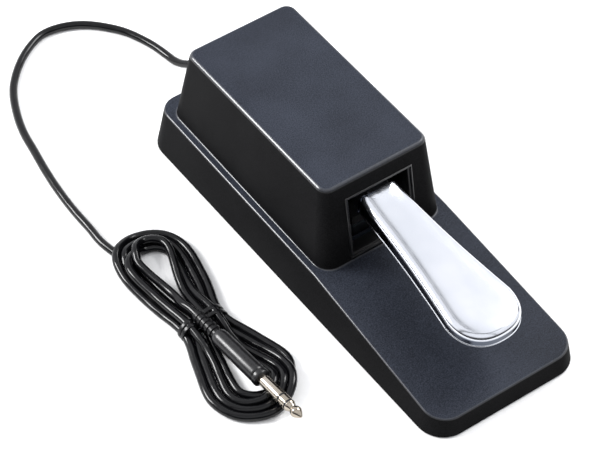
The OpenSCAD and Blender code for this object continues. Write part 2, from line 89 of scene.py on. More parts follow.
@contextmanager
def edit_mode(piece: bpy.types.Object) -> Iterator[None]:
    """Opens a piece in edit mode with nothing selected, and closes it again."""
    take_up(piece)
    bpy.ops.object.mode_set(mode="EDIT")
    bpy.ops.mesh.select_all(action="DESELECT")
    yield
    bpy.ops.object.mode_set(mode="OBJECT")


def pick(piece: bpy.types.Object, kind: Pick, test: Callable[[Any], bool]) -> int:
    """Selects the elements of the piece in edit mode that pass a test, and nothing else.

    Args:
        piece: the object in edit mode.
        kind: whether vertices, edges or faces are tested.
        test: says whether an element is wanted.

    Returns:
        How many elements are selected.
    """
    bpy.ops.mesh.select_all(action="DESELECT")
    bpy.ops.mesh.select_mode(type=kind.value)
    mesh = bmesh.from_edit_mesh(piece.data)
    items = {Pick.VERTS: mesh.verts, Pick.EDGES: mesh.edges, Pick.FACES: mesh.faces}[kind]
    wanted = [item for item in items if test(item)]
    for item in wanted:
        item.select_set(True)
    bmesh.update_edit_mesh(piece.data)
    return len(wanted)


def name_piece(name: str) -> bpy.types.Object:
    """Names the object that an operator has just added, and takes it up.

    Args:
        name: the name for the object and for its mesh.

    Returns:
        The object.
    """
    piece = bpy.context.active_object
    piece.name = name
    piece.data.name = name
    return take_up(piece)


def settle_place(piece: bpy.types.Object, matrix: Matrix | None = None) -> bpy.types.Object:
    """Puts a piece's place into its mesh, so that the object sits unturned at the origin.

    Args:
        piece: the object.
        matrix: a place to give it first, if any.

    Returns:
        The same object.
    """
    take_up(piece)
    if matrix is not None:
        piece.matrix_world = matrix @ piece.matrix_world
    bpy.ops.object.transform_apply(location=True, rotation=True, scale=True)
    return piece


def close_up(piece: bpy.types.Object, angle: float = 32.0) -> bpy.types.Object:
    """Merges doubled points, turns faces outwards and smooths all but the sharp edges.

    Args:
        piece: the object.
        angle: how many degrees an edge may turn and still be smooth.

    Returns:
        The same object.
    """
    with edit_mode(piece):
        bpy.ops.mesh.select_all(action="SELECT")
        bpy.ops.mesh.remove_doubles(threshold=WELD_GAP)
        bpy.ops.mesh.normals_make_consistent(inside=False)
    bpy.ops.object.shade_smooth_by_angle(angle=math.radians(angle))
    return piece


def use_modifier(piece: bpy.types.Object, kind: str, **settings: Any) -> None:
    """Adds a modifier with its settings and applies it.

    Args:
        piece: the object.
        kind: the modifier's type.
        settings: the modifier's own properties.
    """
    take_up(piece)
    modifier = piece.modifiers.new(kind.title(), kind)
    for key, value in settings.items():
        setattr(modifier, key, value)
    bpy.ops.object.modifier_apply(modifier=modifier.name)


def merge(pieces: Sequence[bpy.types.Object], name: str) -> bpy.types.Object:
    """Joins several objects into the first one, under a new name.

    Args:
        pieces: the objects, of which only the first one is left.
        name: the new name.

    Returns:
        The joined object.
    """
    take_up(pieces[0])
    for piece in pieces[1:]:
        piece.select_set(True)
    bpy.ops.object.join()
    return name_piece(name)


def bore(piece: bpy.types.Object, cutter: bpy.types.Object) -> None:
    """Cuts a piece with a cutter, and throws the cutter away."""
    use_modifier(piece, "BOOLEAN", operation="DIFFERENCE", object=cutter, solver="EXACT")
    bpy.data.objects.remove(cutter, do_unlink=True)


def block(name: str, low: Sequence[float], high: Sequence[float]) -> bpy.types.Object:
    """Adds a block.

    Args:
        name: the object's name.
        low: its lowest corner in millimetres.
        high: its highest corner.

    Returns:
        The object.
    """
    centre = [(a + b) / 2 * MM for a, b in zip(low, high)]
    size = [(b - a) * MM for a, b in zip(low, high)]
    bpy.ops.mesh.primitive_cube_add(size=1, location=centre, scale=size)
    return settle_place(name_piece(name))


def turned(name: str, stations: Sequence[Station], sides: int = 32) -> bpy.types.Object:
    """Draws a round piece out along +Z, as on a lathe.

    Args:
        name: the object's name.
        stations: height and radius of each step, in millimetres.
        sides: faces round the piece.

    Returns:
        The closed object.
    """
    height, radius = stations[0]
    bpy.ops.mesh.primitive_circle_add(vertices=sides, radius=radius * MM, fill_type="NGON",
                                      location=(0, 0, height * MM))
    piece = settle_place(name_piece(name))
    with edit_mode(piece):
        bpy.ops.mesh.select_all(action="SELECT")
        for z, r in stations[1:]:
            bpy.ops.mesh.extrude_region_move(
                TRANSFORM_OT_translate={"value": (0, 0, (z - height) * MM)})
            bpy.ops.transform.resize(value=(r / radius, r / radius, 1),
                                     center_override=(0, 0, z * MM))
            height, radius = z, r
    return close_up(piece)


def rounded_plane(half: float, rear: float, toe: float, corner: float, z: float,
                  steps: int) -> bpy.types.Object:
    """Adds a flat rounded rectangle, symmetric left and right.

    Args:
        half: half its width in millimetres.
        rear: its largest Y.
        toe: its smallest Y.
        corner: the corners' radius.
        z: its height.
        steps: faces round each corner.

    Returns:
        The object, with one face.
    """
    bpy.ops.mesh.primitive_plane_add(size=1, location=(0, (rear + toe) / 2 * MM, z * MM))
    plane = name_piece("outline")
    plane.scale = (2 * half * MM, (rear - toe) * MM, 1)
    settle_place(plane)
    with edit_mode(plane):
        bpy.ops.mesh.select_all(action="SELECT")
        bpy.ops.mesh.bevel(offset=corner * MM, segments=steps, affect="VERTICES")
    return plane


def drafted_shell(name: str, foot: Sequence[float], top: Sequence[float],
                  steps: int = 10) -> bpy.types.Object:
    """Joins a foot outline to a top outline by sloping walls and caps the top.

    Args:
        name: the object's name.
        foot: half, rear, toe, corner and height of the lower outline.
        top: the same for the upper outline.
        steps: faces round each corner.

    Returns:
        A shell that is open at the foot.
    """
    shell = merge([rounded_plane(*foot, steps), rounded_plane(*top, steps)], name)
    with edit_mode(shell):
        bpy.ops.mesh.select_all(action="SELECT")
        bpy.ops.mesh.delete(type="ONLY_FACE")
        bpy.ops.mesh.select_all(action="SELECT")
        bpy.ops.mesh.bridge_edge_loops()
        just_below = (top[4] - 0.01) * MM
        pick(shell, Pick.EDGES, lambda e: all(v.co.z > just_below for v in e.verts))
        bpy.ops.mesh.edge_face_add()
        bpy.ops.mesh.select_all(action="SELECT")
        bpy.ops.mesh.normals_make_consistent(inside=False)
    return shell


def saw(piece: bpy.types.Object, point: Sequence[float], normal: Sequence[float],
        fill: bool = True) -> None:
    """Cuts off all of a piece that lies beyond a plane.

    Args:
        piece: the object.
        point: a point of the plane in millimetres.
        normal: the way that the plane faces, towards what is cut off.
        fill: whether the cut is closed by a face.
    """
    with edit_mode(piece):
        bpy.ops.mesh.select_all(action="SELECT")
        bpy.ops.mesh.bisect(plane_co=[c * MM for c in point], plane_no=normal,
                            use_fill=fill, clear_outer=True)


def tube(name: str, path: np.ndarray, radius: float, sides: int,
         lay: float) -> bpy.types.Object:
    """Makes a closed round tube along a path, with a UV map that follows its surface.

    Args:
        name: the object's name.
        path: the centreline's points in metres.
        radius: in metres.
        sides: faces round the tube.
        lay: length of one twist of its cores in metres, which is one unit of V.

    Returns:
        The mesh object.
    """
    heading = np.gradient(path, axis=0)
    heading /= np.linalg.norm(heading, axis=1)[:, None]
    along = np.concatenate([[0.0], np.cumsum(np.linalg.norm(np.diff(path, axis=0), axis=1))])
    side = np.zeros_like(path)
    side[0] = np.cross(heading[0], (0.0, 0.0, 1.0) if abs(heading[0][2]) < 0.9 else (1.0, 0, 0))
    for i in range(1, len(path)):
        side[i] = side[i - 1] - heading[i] * np.dot(side[i - 1], heading[i])
        side[i] /= np.linalg.norm(side[i])
    side[0] /= np.linalg.norm(side[0])
    other = np.cross(heading, side)
    turn = np.linspace(0, 2 * math.pi, sides, endpoint=False)
    rings = (path[:, None] + radius * (np.cos(turn)[None, :, None] * side[:, None]
                                       + np.sin(turn)[None, :, None] * other[:, None]))
    count = len(path)
    faces = [(i * sides + j, i * sides + (j + 1) % sides, (i + 1) * sides + (j + 1) % sides,
              (i + 1) * sides + j) for i in range(count - 1) for j in range(sides)]
    faces.append(tuple(reversed(range(sides))))
    faces.append(tuple((count - 1) * sides + j for j in range(sides)))
    mesh = bpy.data.meshes.new(name)
    mesh.from_pydata([tuple(p) for p in rings.reshape(-1, 3)], [], faces)
    layer = mesh.uv_layers.new(name="UVMap")
    for polygon in mesh.polygons[:(count - 1) * sides]:
        i, j = divmod(polygon.index, sides)
        corners = ((i, j), (i, j + 1), (i + 1, j + 1), (i + 1, j))
        for loop, (ring, step) in zip(polygon.loop_indices, corners):
            layer.data[loop].uv = (step / sides, along[ring] / lay)
    piece = bpy.data.objects.new(name, mesh)
    bpy.context.collection.objects.link(piece)
    take_up(piece)
    bpy.ops.object.shade_smooth_by_angle(angle=math.radians(50))
    with edit_mode(piece):
        bpy.ops.mesh.select_all(action="SELECT")
        bpy.ops.mesh.normals_make_consistent(inside=False)
    return piece


# ---- Finishes ----


def linear(hex_colour: str) -> tuple[float, float, float, float]:
    """Turns an sRGB colour into a linear one.

    Args:
        hex_colour: a hash and six hexadecimal digits.

    Returns:
        Linear red, green, blue and an alpha of one.
    """
    values = [int(hex_colour[i:i + 2], 16) / 255 for i in (1, 3, 5)]
    channels = [v / 12.92 if v <= 0.04045 else ((v + 0.055) / 1.055) ** 2.4 for v in values]
    return channels[0], channels[1], channels[2], 1.0


def add_node(tree: bpy.types.NodeTree, kind: str, inputs: dict[Any, Any] | None = None,
             stops: Sequence[tuple[float, str]] = (), **settings: Any) -> bpy.types.Node:
    """Adds one node with its settings, values and links.

    Args:
        tree: the material's or the world's node tree.
        kind: the node's type, without the ShaderNode that all of them start with.
        inputs: a value, or a socket to link from, for each named or numbered input.
        stops: place and sRGB hex colour of each stop, where the node has a colour ramp.
        settings: the node's own properties.

    Returns:
        The node.
    """
    node = tree.nodes.new("ShaderNode" + kind)
    for key, value in settings.items():
        setattr(node, key, value)
    for key, value in (inputs or {}).items():
        socket = node.inputs[key]
        if isinstance(value, bpy.types.NodeSocket):
            tree.links.new(value, socket)
        else:
            socket.default_value = value
    for stop, (place, hex_colour) in enumerate(stops):
        node.color_ramp.elements[stop].position = place
        node.color_ramp.elements[stop].color = linear(hex_colour)
    return node


def start_material(name: str, **sockets: Any) -> tuple[bpy.types.Material, bpy.types.Node]:
    """Starts a material and sets constants on its shader's own sockets.

    Args:
        name: the finish's name.
        sockets: values, named as the shader's sockets with underscores for spaces.

    Returns:
        The material and its shader node.
    """
    material = bpy.data.materials.new(name)
    material.use_nodes = True
    shader = material.node_tree.nodes["Principled BSDF"]
    for key, value in sockets.items():
        shader.inputs[key.replace("_", " ")].default_value = value
    return material, shader


def dress(finish: "Finish", *pieces: bpy.types.Object) -> None:
    """Gives pieces one finish in place of what they had.

    Args:
        finish: the finish.
        pieces: the objects, or the CAD model's own nodes.
    """
    material = finish.material()
    for piece in pieces:
        piece.data.materials.clear()
        piece.data.materials.append(material)


@dataclass(frozen=True)
class Finish:
    """What all finishes share: a name that a maker would use, and one material each."""

    name: str

    def material(self) -> bpy.types.Material:
        """Returns the finish's material, and builds it the first time."""
        return bpy.data.materials.get(self.name) or self.build()

    def build(self) -> bpy.types.Material:
        """Builds the material; each kind of finish has its own way."""
        raise NotImplementedError


@dataclass(frozen=True)
class MouldedPlastic(Finish):
    """A plastic, rubber, felt or paint whose grain comes from its mould or its making.

    The colour runs from one hex value to another with the grain, whose pitch and depth are in
    millimetres. With a burnish, the rounded edges are polished to that specular level, the tops
    keep the lighter colours as painted light, and steep walls take darker colours of their own
    as painted shade.
    """

    colour: str
    worn: str
    roughness: float
    spread: float
    specular: float
    ior: float
    grain: float
    depth: float
    burnish: float = 0.0
    # Darker colours painted on the steep walls, as painted shade
    painted_wall_shade: tuple[str, str] = ("", "")

    CLOUD = 35.0
    SPAN = (0.38, 0.62)

    def build(self) -> bpy.types.Material:
        """Builds a grain of bumps, a cloudy colour, and roughness that follows the grain."""
        material, shader = start_material(self.name, IOR=self.ior,
                                          Specular_IOR_Level=self.specular)
        tree = material.node_tree
        place = add_node(tree, "TexCoord").outputs["Object"]
        grain = add_node(tree, "TexNoise", {"Vector": place, "Scale": 1 / (self.grain * MM),
                                            "Detail": 2.0, "Roughness": 0.6})
        cloud = add_node(tree, "TexNoise", {"Vector": place, "Scale": 1 / (self.CLOUD * MM),
                                            "Detail": 3.0})
        mixed = add_node(tree, "Mix", {0: 0.25, 2: grain.outputs["Fac"],
                                       3: cloud.outputs["Fac"]}, data_type="FLOAT").outputs[0]
        colour = add_node(tree, "ValToRGB", {"Fac": mixed},
                          tuple(zip(self.SPAN, (self.colour, self.worn)))).outputs["Color"]
        gloss = add_node(tree, "MapRange", {"Value": grain.outputs["Fac"], "From Min": 0.3,
                                            "From Max": 0.7,
                                            "To Min": self.roughness - self.spread,
                                            "To Max": self.roughness + self.spread})
        rough = gloss.outputs["Result"]
        if self.burnish:
            normal = add_node(tree, "TexCoord").outputs["Normal"]
            lift = add_node(tree, "SeparateXYZ", {"Vector": normal}).outputs["Z"]
            rough = self.burnish_edges(tree, shader, rough, lift)
            # Painted light and shade: faces that turn up keep the lighter colours as painted
            # light, and steep walls take the darker wall colours as painted shade
            lit_top_share = add_node(tree, "MapRange", {"Value": lift, "From Min": 0.4,
                                                    "From Max": 0.9}).outputs[0]
            wall = add_node(tree, "ValToRGB", {"Fac": mixed},
                            tuple(zip(self.SPAN, self.painted_wall_shade))).outputs["Color"]
            colour = add_node(tree, "Mix", {0: lit_top_share, 6: wall, 7: colour},
                              data_type="RGBA").outputs[2]
        bump = add_node(tree, "Bump", {"Height": grain.outputs["Fac"], "Strength": 0.5,
                                       "Distance": self.depth * MM})
        tree.links.new(colour, shader.inputs["Base Color"])
        tree.links.new(rough, shader.inputs["Roughness"])
        tree.links.new(bump.outputs["Normal"], shader.inputs["Normal"])
        return material

    def burnish_edges(self, tree: bpy.types.NodeTree, shader: bpy.types.Node,
                      rough: bpy.types.NodeSocket,
                      lift: bpy.types.NodeSocket) -> bpy.types.NodeSocket:
        """Polishes the rounded edges between walls and tops, where the grain wears off first.

        Args:
            tree: the material's node tree.
            shader: its shader, whose specular level is driven here.
            rough: the roughness away from the edges.
            lift: the upward part of the surface's normal.

        Returns:
            The roughness with the edges in it.
        """
        past_wall = add_node(tree, "MapRange", {"Value": lift, "From Min": 0.28,
                                                "From Max": 0.5})
        before_top = add_node(tree, "MapRange", {"Value": lift, "From Min": 0.97,
                                                 "From Max": 0.86})
        edge = add_node(tree, "Math", {0: past_wall.outputs[0], 1: before_top.outputs[0]},
                        operation="MULTIPLY").outputs[0]
        matt = add_node(tree, "MapRange", {"Value": lift, "From Min": 0.4, "From Max": 0.9,
                                           "To Min": self.specular * 0.25,
                                           "To Max": self.specular})
        level = add_node(tree, "MapRange", {"Value": edge, "To Min": matt.outputs[0],
                                            "To Max": self.burnish})
        tree.links.new(level.outputs[0], shader.inputs["Specular IOR Level"])
        return add_node(tree, "Mix", {0: edge, 2: rough, 3: self.roughness * 0.5},
                        data_type="FLOAT").outputs[0]


@dataclass(frozen=True)
class PlatedMetal(Finish):
    """A plated or drawn metal: polishing streaks along one axis, under a slow change of colour.

    A streak factor below one draws the streaks out along that axis; their pitch and depth are
    in millimetres. Steep faces take the shade colour, where there is one: a painted shade that
    stands in for the dark reflection they would show.
    """

    colour: str
    dull: str
    roughness: float
    spread: float
    streak: tuple[float, float, float]
    pitch: float
    depth: float
    # A darker colour painted on steep faces, as painted shade in place of a dark reflection
    shade: str = ""

    CLOUD = 22.0
    SMOOTHEST = 0.02

    def build(self) -> bpy.types.Material:
        """Builds streaks by stretching a noise along one axis, and a slow change of colour."""
        material, shader = start_material(self.name, Metallic=1.0)
        tree = material.node_tree
        place = add_node(tree, "TexCoord").outputs["Object"]
        stretch = add_node(tree, "Mapping", {"Vector": place, "Scale": self.streak})
        streaks = add_node(tree, "TexNoise", {"Vector": stretch.outputs[0],
                                              "Scale": 1 / (self.pitch * MM), "Detail": 3.0})
        cloud = add_node(tree, "TexNoise", {"Vector": place, "Scale": 1 / (self.CLOUD * MM),
                                            "Detail": 2.0})
        tint = add_node(tree, "ValToRGB", {"Fac": cloud.outputs["Fac"]},
                        ((0.35, self.dull), (0.65, self.colour)))
        smoothest = max(self.roughness - self.spread, self.SMOOTHEST)
        gloss = add_node(tree, "MapRange", {"Value": streaks.outputs["Fac"], "From Min": 0.3,
                                            "From Max": 0.7, "To Min": smoothest,
                                            "To Max": self.roughness + self.spread})
        bump = add_node(tree, "Bump", {"Height": streaks.outputs["Fac"], "Strength": 0.3,
                                       "Distance": self.depth * MM})
        colour = tint.outputs["Color"]
        if self.shade:
            # Painted shade: steep faces such as the skirt take the darker shade colour in place
            # of the dark reflection they would show, which keeps the skirt dark below the rim
            normal = add_node(tree, "TexCoord").outputs["Normal"]
            lift = add_node(tree, "SeparateXYZ", {"Vector": normal}).outputs["Z"]
            upper = add_node(tree, "MapRange", {"Value": lift, "From Min": 0.1,
                                                "From Max": 0.35}).outputs[0]
            colour = add_node(tree, "Mix", {0: upper, 6: linear(self.shade), 7: colour},
                              data_type="RGBA").outputs[2]
        tree.links.new(colour, shader.inputs["Base Color"])
        tree.links.new(gloss.outputs["Result"], shader.inputs["Roughness"])
        tree.links.new(bump.outputs["Normal"], shader.inputs["Normal"])
        return material


@dataclass(frozen=True)
class CableJacket(Finish):
    """A glossy extruded PVC jacket, over cores whose twist shows as a faint slant."""

    colour: str = "#060608"
    scuffed: str = "#0b0b0d"
    roughness: float = 0.17
    specular: float = 0.24
    ior: float = 1.53
    cores: float = 3.0
    depth: float = 0.06
    scuff: float = 2.5

    def build(self) -> bpy.types.Material:
        """Builds the twist from the tube's own UV map, and scuffs from a fine noise."""
        material, shader = start_material(self.name, IOR=self.ior,
                                          Specular_IOR_Level=self.specular)
        tree = material.node_tree
        coordinates = add_node(tree, "TexCoord")
        split = add_node(tree, "SeparateXYZ", {"Vector": coordinates.outputs["UV"]})
        round_it = add_node(tree, "Math", {0: split.outputs["X"], 1: self.cores},
                            operation="MULTIPLY")
        phase = add_node(tree, "Math", {0: round_it.outputs[0], 1: split.outputs["Y"]},
                         operation="ADD")
        angle = add_node(tree, "Math", {0: phase.outputs[0], 1: 2 * math.pi},
                         operation="MULTIPLY")
        twist = add_node(tree, "Math", {0: angle.outputs[0]}, operation="SINE")
        scuff = add_node(tree, "TexNoise", {"Vector": coordinates.outputs["Object"],
                                            "Scale": 1 / (self.scuff * MM), "Detail": 3.0})
        tint = add_node(tree, "ValToRGB", {"Fac": scuff.outputs["Fac"]},
                        ((0.4, self.colour), (0.75, self.scuffed)))
        gloss = add_node(tree, "MapRange", {"Value": scuff.outputs["Fac"], "From Min": 0.3,
                                            "From Max": 0.7,
                                            "To Min": self.roughness - 0.03,
                                            "To Max": self.roughness + 0.05})
        bump = add_node(tree, "Bump", {"Height": twist.outputs[0], "Strength": 0.3,
                                       "Distance": self.depth * MM})
        tree.links.new(tint.outputs["Color"], shader.inputs["Base Color"])
        tree.links.new(gloss.outputs["Result"], shader.inputs["Roughness"])
        tree.links.new(bump.outputs["Normal"], shader.inputs["Normal"])
        return material


# The pedal's own finishes. Where a grain or streak is drawn coarser than the real one, it is
# because anything finer would not show at arm's length.

# The spark-eroded tool leaves a matt, faintly bluish black; the tops are painted lighter as
# painted light and the walls darker and neutral as painted shade, with a bright line where the
# rounded edges have lost their grain
BLACK_ABS = MouldedPlastic(
    "spark_textured_black_ABS", "#191c23", "#31353f", roughness=0.56, spread=0.06, specular=0.1,
    ior=1.52, grain=0.55, depth=0.03, burnish=0.6, painted_wall_shade=("#0a0a0b", "#171718"))
# A smoother tool gives the frame a soft gloss, so that its steps catch the light
FRAME_ABS = MouldedPlastic(
    "smooth_black_ABS", "#0c0c0e", "#151517", roughness=0.36, spread=0.05, specular=0.6,
    ior=1.52, grain=1.6, depth=0.02)
# Filled rubber is dead matt and a little dusty
SOLE_RUBBER = MouldedPlastic(
    "moulded_black_rubber", "#121213", "#1f1f20", roughness=0.78, spread=0.08, specular=0.3,
    ior=1.52, grain=0.9, depth=0.08)
# Nylon off the lathe is a creamy white with a waxy sheen
NATURAL_NYLON = MouldedPlastic(
    "machined_natural_nylon", "#d8d3c4", "#ebe7da", roughness=0.42, spread=0.06, specular=0.5,
    ior=1.53, grain=1.4, depth=0.02)
# The sensor's resin case is a dark, slightly mottled green
GREEN_PHENOLIC = MouldedPlastic(
    "moulded_green_phenolic", "#1f3a2b", "#2d5140", roughness=0.35, spread=0.06, specular=0.5,
    ior=1.6, grain=1.2, depth=0.02)
# Thin extruded insulation is smooth and evenly red
WIRE_PVC = MouldedPlastic(
    "extruded_red_PVC", "#8e1e18", "#b3332a", roughness=0.34, spread=0.05, specular=0.5,
    ior=1.53, grain=1.5, depth=0.01)
# Pressed wool has deep fibres and no gloss at all
GREY_FELT = MouldedPlastic(
    "pressed_wool_felt", "#3e4043", "#6a6d71", roughness=0.92, spread=0.05, specular=0.2,
    ior=1.5, grain=0.7, depth=0.35)
# The plug's shell comes from a polished mould, nearly black with a clear highlight
PLUG_SHELL = MouldedPlastic(
    "polished_black_phenolic", "#08080a", "#101013", roughness=0.3, spread=0.04, specular=0.35,
    ior=1.6, grain=1.8, depth=0.01)
# Soft PVC moulded over the lead: as dark as the shell, with a duller highlight
RELIEF_PVC = MouldedPlastic(
    "moulded_black_PVC", "#070709", "#101012", roughness=0.3, spread=0.05, specular=0.22,
    ior=1.53, grain=1.2, depth=0.02)
# Baked powder flows into a slight orange peel
ARM_PAINT = MouldedPlastic(
    "black_powder_paint_on_steel", "#17181a", "#26272a", roughness=0.4, spread=0.08,
    specular=0.5, ior=1.5, grain=1.3, depth=0.05)
# The tie is the same plastic as a cable's jacket, flat and a little glossy
TIE_JACKET = MouldedPlastic(
    "extruded_black_tie", "#060608", "#0d0d0f", roughness=0.26, spread=0.04, specular=0.24,
    ior=1.53, grain=1.5, depth=0.01)
# Chrome brushed along the plate before plating: bright and slightly blurred on top, and painted
# dark on the skirt, a painted shade in place of the dark reflection that it would show
SATIN_CHROME = PlatedMetal(
    "satin_chrome_plate", "#d8dae0", "#cfd2d9", roughness=0.15, spread=0.03,
    streak=(1.0, 0.06, 1.0), pitch=0.7, depth=0.001, shade="#4d525c")
# Nickel is warmer and yellower than chrome, and polished round the shaft
NICKEL = PlatedMetal(
    "polished_nickel_plate", "#bab2a8", "#a1988b", roughness=0.14, spread=0.04,
    streak=(1.0, 0.1, 1.0), pitch=0.5, depth=0.002)
# Zinc on rolled sheet is a bluish grey with faint rolling lines
ZINC_SHEET = PlatedMetal(
    "zinc_plated_sheet_steel", "#b9bec4", "#98a0a8", roughness=0.36, spread=0.08,
    streak=(1.0, 0.15, 1.0), pitch=1.2, depth=0.006)
# Zinc on turned steel is brighter, with lines up the shank
SCREW_ZINC = PlatedMetal(
    "zinc_plated_screw_steel", "#c4c7cb", "#a2a6ab", roughness=0.28, spread=0.07,
    streak=(1.0, 1.0, 0.2), pitch=0.6, depth=0.004)
# Drawn wire is a plain grey with a narrow highlight
SPRING_WIRE = PlatedMetal(
    "drawn_spring_steel", "#a9adb2", "#84888d", roughness=0.3, spread=0.06,
    streak=(1.0, 1.0, 1.0), pitch=0.8, depth=0.003)
# Tin over brass lets some yellow through
TINNED_BRASS = PlatedMetal(
    "tinned_brass", "#cdbb8a", "#b59d62", roughness=0.3, spread=0.06, streak=(1.0, 1.0, 0.3),
    pitch=0.6, depth=0.003)
# The lead's jacket is a deep black with sharp highlights along its turns
LEAD_JACKET = CableJacket("glossy_black_PVC_jacket")


# ---- The object ----


@dataclass
class Setting:
    """The pedal's main datums, in millimetres and degrees, as its CAD model has them."""

    half_w: float = 45.0
    half_l: float = 125.0
    foot_z: float = 0.8
    bend_y: float = -19.0
    deck: tuple[float, float, float] = (11.6, 23.4, 25.8)
    pivot: tuple[float, float, float] = (0.0, 72.0, 58.0)
    tilt: float = 5.6
    outlet: tuple[float, float, float] = (0.0, 124.6, 10.0)
    plug: tuple[float, float, float] = (-96.2, 3.0, 10.0)
    plug_turn: float = 3.5

    def deck_planes(self) -> list[tuple[tuple[float, float, float], tuple[float, ...]]]:
        """Returns a point and the upward normal of the front and of the rear deck."""
        front, bend, rear = self.deck
        rise = (bend - front) / (self.bend_y + self.half_l)
        back = (rear - bend) / (self.half_l - self.bend_y)
        point = (0.0, self.bend_y, bend)
        return [(point, (0.0, -rise, 1.0)), (point, (0.0, -back, 1.0))]

    def at_pivot(self) -> Matrix:
        """Returns the place of the pedal's own frame: along Y from the pivot, tilted down."""
        return (Matrix.Translation(Vector(self.pivot) * MM)
                @ Matrix.Rotation(math.radians(self.tilt), 4, "X"))

    def on_plug(self) -> Matrix:
        """Returns the place of the plug's axis, which a turned piece follows along its +Z."""
        return (Matrix.Translation(Vector(self.plug) * MM)
                @ Matrix.Rotation(math.radians(self.plug_turn), 4, "Z")
                @ Matrix.Rotation(math.radians(90), 4, "X"))

    def at_outlet(self) -> Matrix:
        """Returns the place of the lead's outlet, with +Z along the lead as it leaves."""
        return (Matrix.Translation(Vector(self.outlet) * MM)
                @ Matrix.Rotation(math.radians(-90), 4, "X"))


SETTING = Setting()


def screw_posts(radius: float, across: float, places: Sequence[float], low: float,
                high: Callable[[float], float]) -> list[bpy.types.Object]:
    """Turns the round posts that screws go into, left and right at each place along Y.

    Args:
        radius: in millimetres.
        across: their distance from the middle.
        places: their Y places.
        low: height of their lower ends.
        high: height of their upper ends at a Y place.

    Returns:
        The posts, ready to be merged with their moulding.
    """
    posts = []
    for y in places:
        for x in (-across, across):
            post = turned("screw_post", [(low, radius), (high(y), radius)], 24)
            posts.append(settle_place(post, Matrix.Translation((x * MM, y * MM, 0))))
    return posts


@dataclass
class WedgeBase:
    """The low wedge that the pedal stands on, with its sole."""

    corner: float = 14.5
    draft: float = math.tan(math.radians(10))
    wall: float = 2.2
    edge: float = 1.0
    # Half-width, toe and rear of the opening under the cover
    opening: tuple[float, float, float] = (25.0, -10.0, 97.0)
    outlet_r: float = 4.6
    # Radius, distance from the middle and places along Y
    plate_posts: tuple[float, float, tuple[float, ...]] = (3.5, 34.0, (-105.0, 4.0, 108.5))
    cover_posts: tuple[float, float, tuple[float, ...]] = (4.5, 29.5, (-11.0, 102.0))
    cover_posts_from: float = 19.0
    sole_inset: float = 3.6
    sole_thickness: float = 2.0
    plate_hole_r: float = 3.5
    bracket_holes: tuple[float, float, tuple[float, ...]] = (4.7, 11.0, (30.0, 86.0))
    # Half-length, half-width and depth of each groove, their pitch and how many there are
    groove: tuple[float, float, float] = (36.0, 0.9, 0.8)
    groove_pitch: float = 12.0
    groove_count: int = 17

    def build(self) -> list[bpy.types.Object]:
        """Builds the moulding and the sole.

        Returns:
            The pieces, already riding on the base.
        """
        return [self.moulding(), self.sole()]

    def roof(self, y: float) -> float:
        """Returns a height inside the deck's thickness at a Y place, where posts end."""
        front, bend, rear = SETTING.deck
        ends = (-SETTING.half_l, SETTING.bend_y, SETTING.half_l)
        return float(np.interp(y, ends, (front, bend, rear))) - self.wall / 2

    def moulding(self) -> bpy.types.Object:
        """Builds the hollow moulding: sloping deck, rounded rim, openings inside."""
        s = SETTING
        top = 30.0  # above the whole deck, which is then sawn off it
        drawn_in = self.draft * (top - s.foot_z)
        shell = drafted_shell(
            "base_moulding",
            (s.half_w, s.half_l, -s.half_l, self.corner, s.foot_z),
            (s.half_w - drawn_in, s.half_l - drawn_in, drawn_in - s.half_l,
             self.corner - drawn_in, top))
        for point, normal in s.deck_planes():
            saw(shell, point, normal)
        with edit_mode(shell):
            pick(shell, Pick.EDGES, lambda e: len(e.link_faces) == 2
                 and any(f.normal.z > 0.9 for f in e.link_faces)
                 and not all(f.normal.z > 0.9 for f in e.link_faces))
            bpy.ops.mesh.bevel(offset=self.edge * MM, segments=4, profile=0.5,
                               affect="EDGES")
        use_modifier(shell, "SOLIDIFY", thickness=self.wall * MM, offset=-1.0,
                     use_even_offset=True)
        half, toe, rear = self.opening
        bore(shell, block("opening", (-half, toe, 5), (half, rear, 40)))
        outlet = turned("outlet", [(-9, self.outlet_r), (4, self.outlet_r)])
        bore(shell, settle_place(outlet, s.at_outlet()))
        plate_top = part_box("bottom_plate")[1][2] / MM
        shell = merge([shell, *screw_posts(*self.plate_posts, plate_top, self.roof),
                       *screw_posts(*self.cover_posts, self.cover_posts_from, self.roof)],
                      "base_moulding")
        close_up(shell, 40)
        dress(BLACK_ABS, shell)
        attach(shell, "pedal_base")
        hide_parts("base")
        return shell

    def sole(self) -> bpy.types.Object:
        """Builds the rubber sole: a rounded sheet with grooves across its underside."""
        s = SETTING
        inset = self.sole_inset
        sheet = (s.half_w - inset, s.half_l - inset, inset - s.half_l, self.corner - inset)
        sole = drafted_shell("sole_sheet", (*sheet, 0.0), (*sheet, self.sole_thickness))
        with edit_mode(sole):
            pick(sole, Pick.EDGES, lambda e: e.is_boundary)
            bpy.ops.mesh.edge_face_add()
        plate_holes = (self.plate_hole_r, *self.plate_posts[1:])
        for r, across, places in (plate_holes, self.bracket_holes):
            for x, y in ((x, y) for x in (-across, across) for y in places):
                hole = turned("hole", [(-1, r), (self.sole_thickness + 1, r)], 24)
                bore(sole, settle_place(hole, Matrix.Translation((x * MM, y * MM, 0))))
        length, width, depth = self.groove
        groove = block("groove", (-length, -width, -1), (length, width, depth))
        use_modifier(groove, "ARRAY", count=self.groove_count, use_relative_offset=False,
                     use_constant_offset=True,
                     constant_offset_displace=(0, self.groove_pitch * MM, 0))
        start = -self.groove_pitch * (self.groove_count - 1) / 2
        bore(sole, settle_place(groove, Matrix.Translation((0, start * MM, 0))))
        close_up(sole)
        dress(SOLE_RUBBER, sole)
        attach(sole, "pedal_base")
        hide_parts("rubber_sole")
        return sole


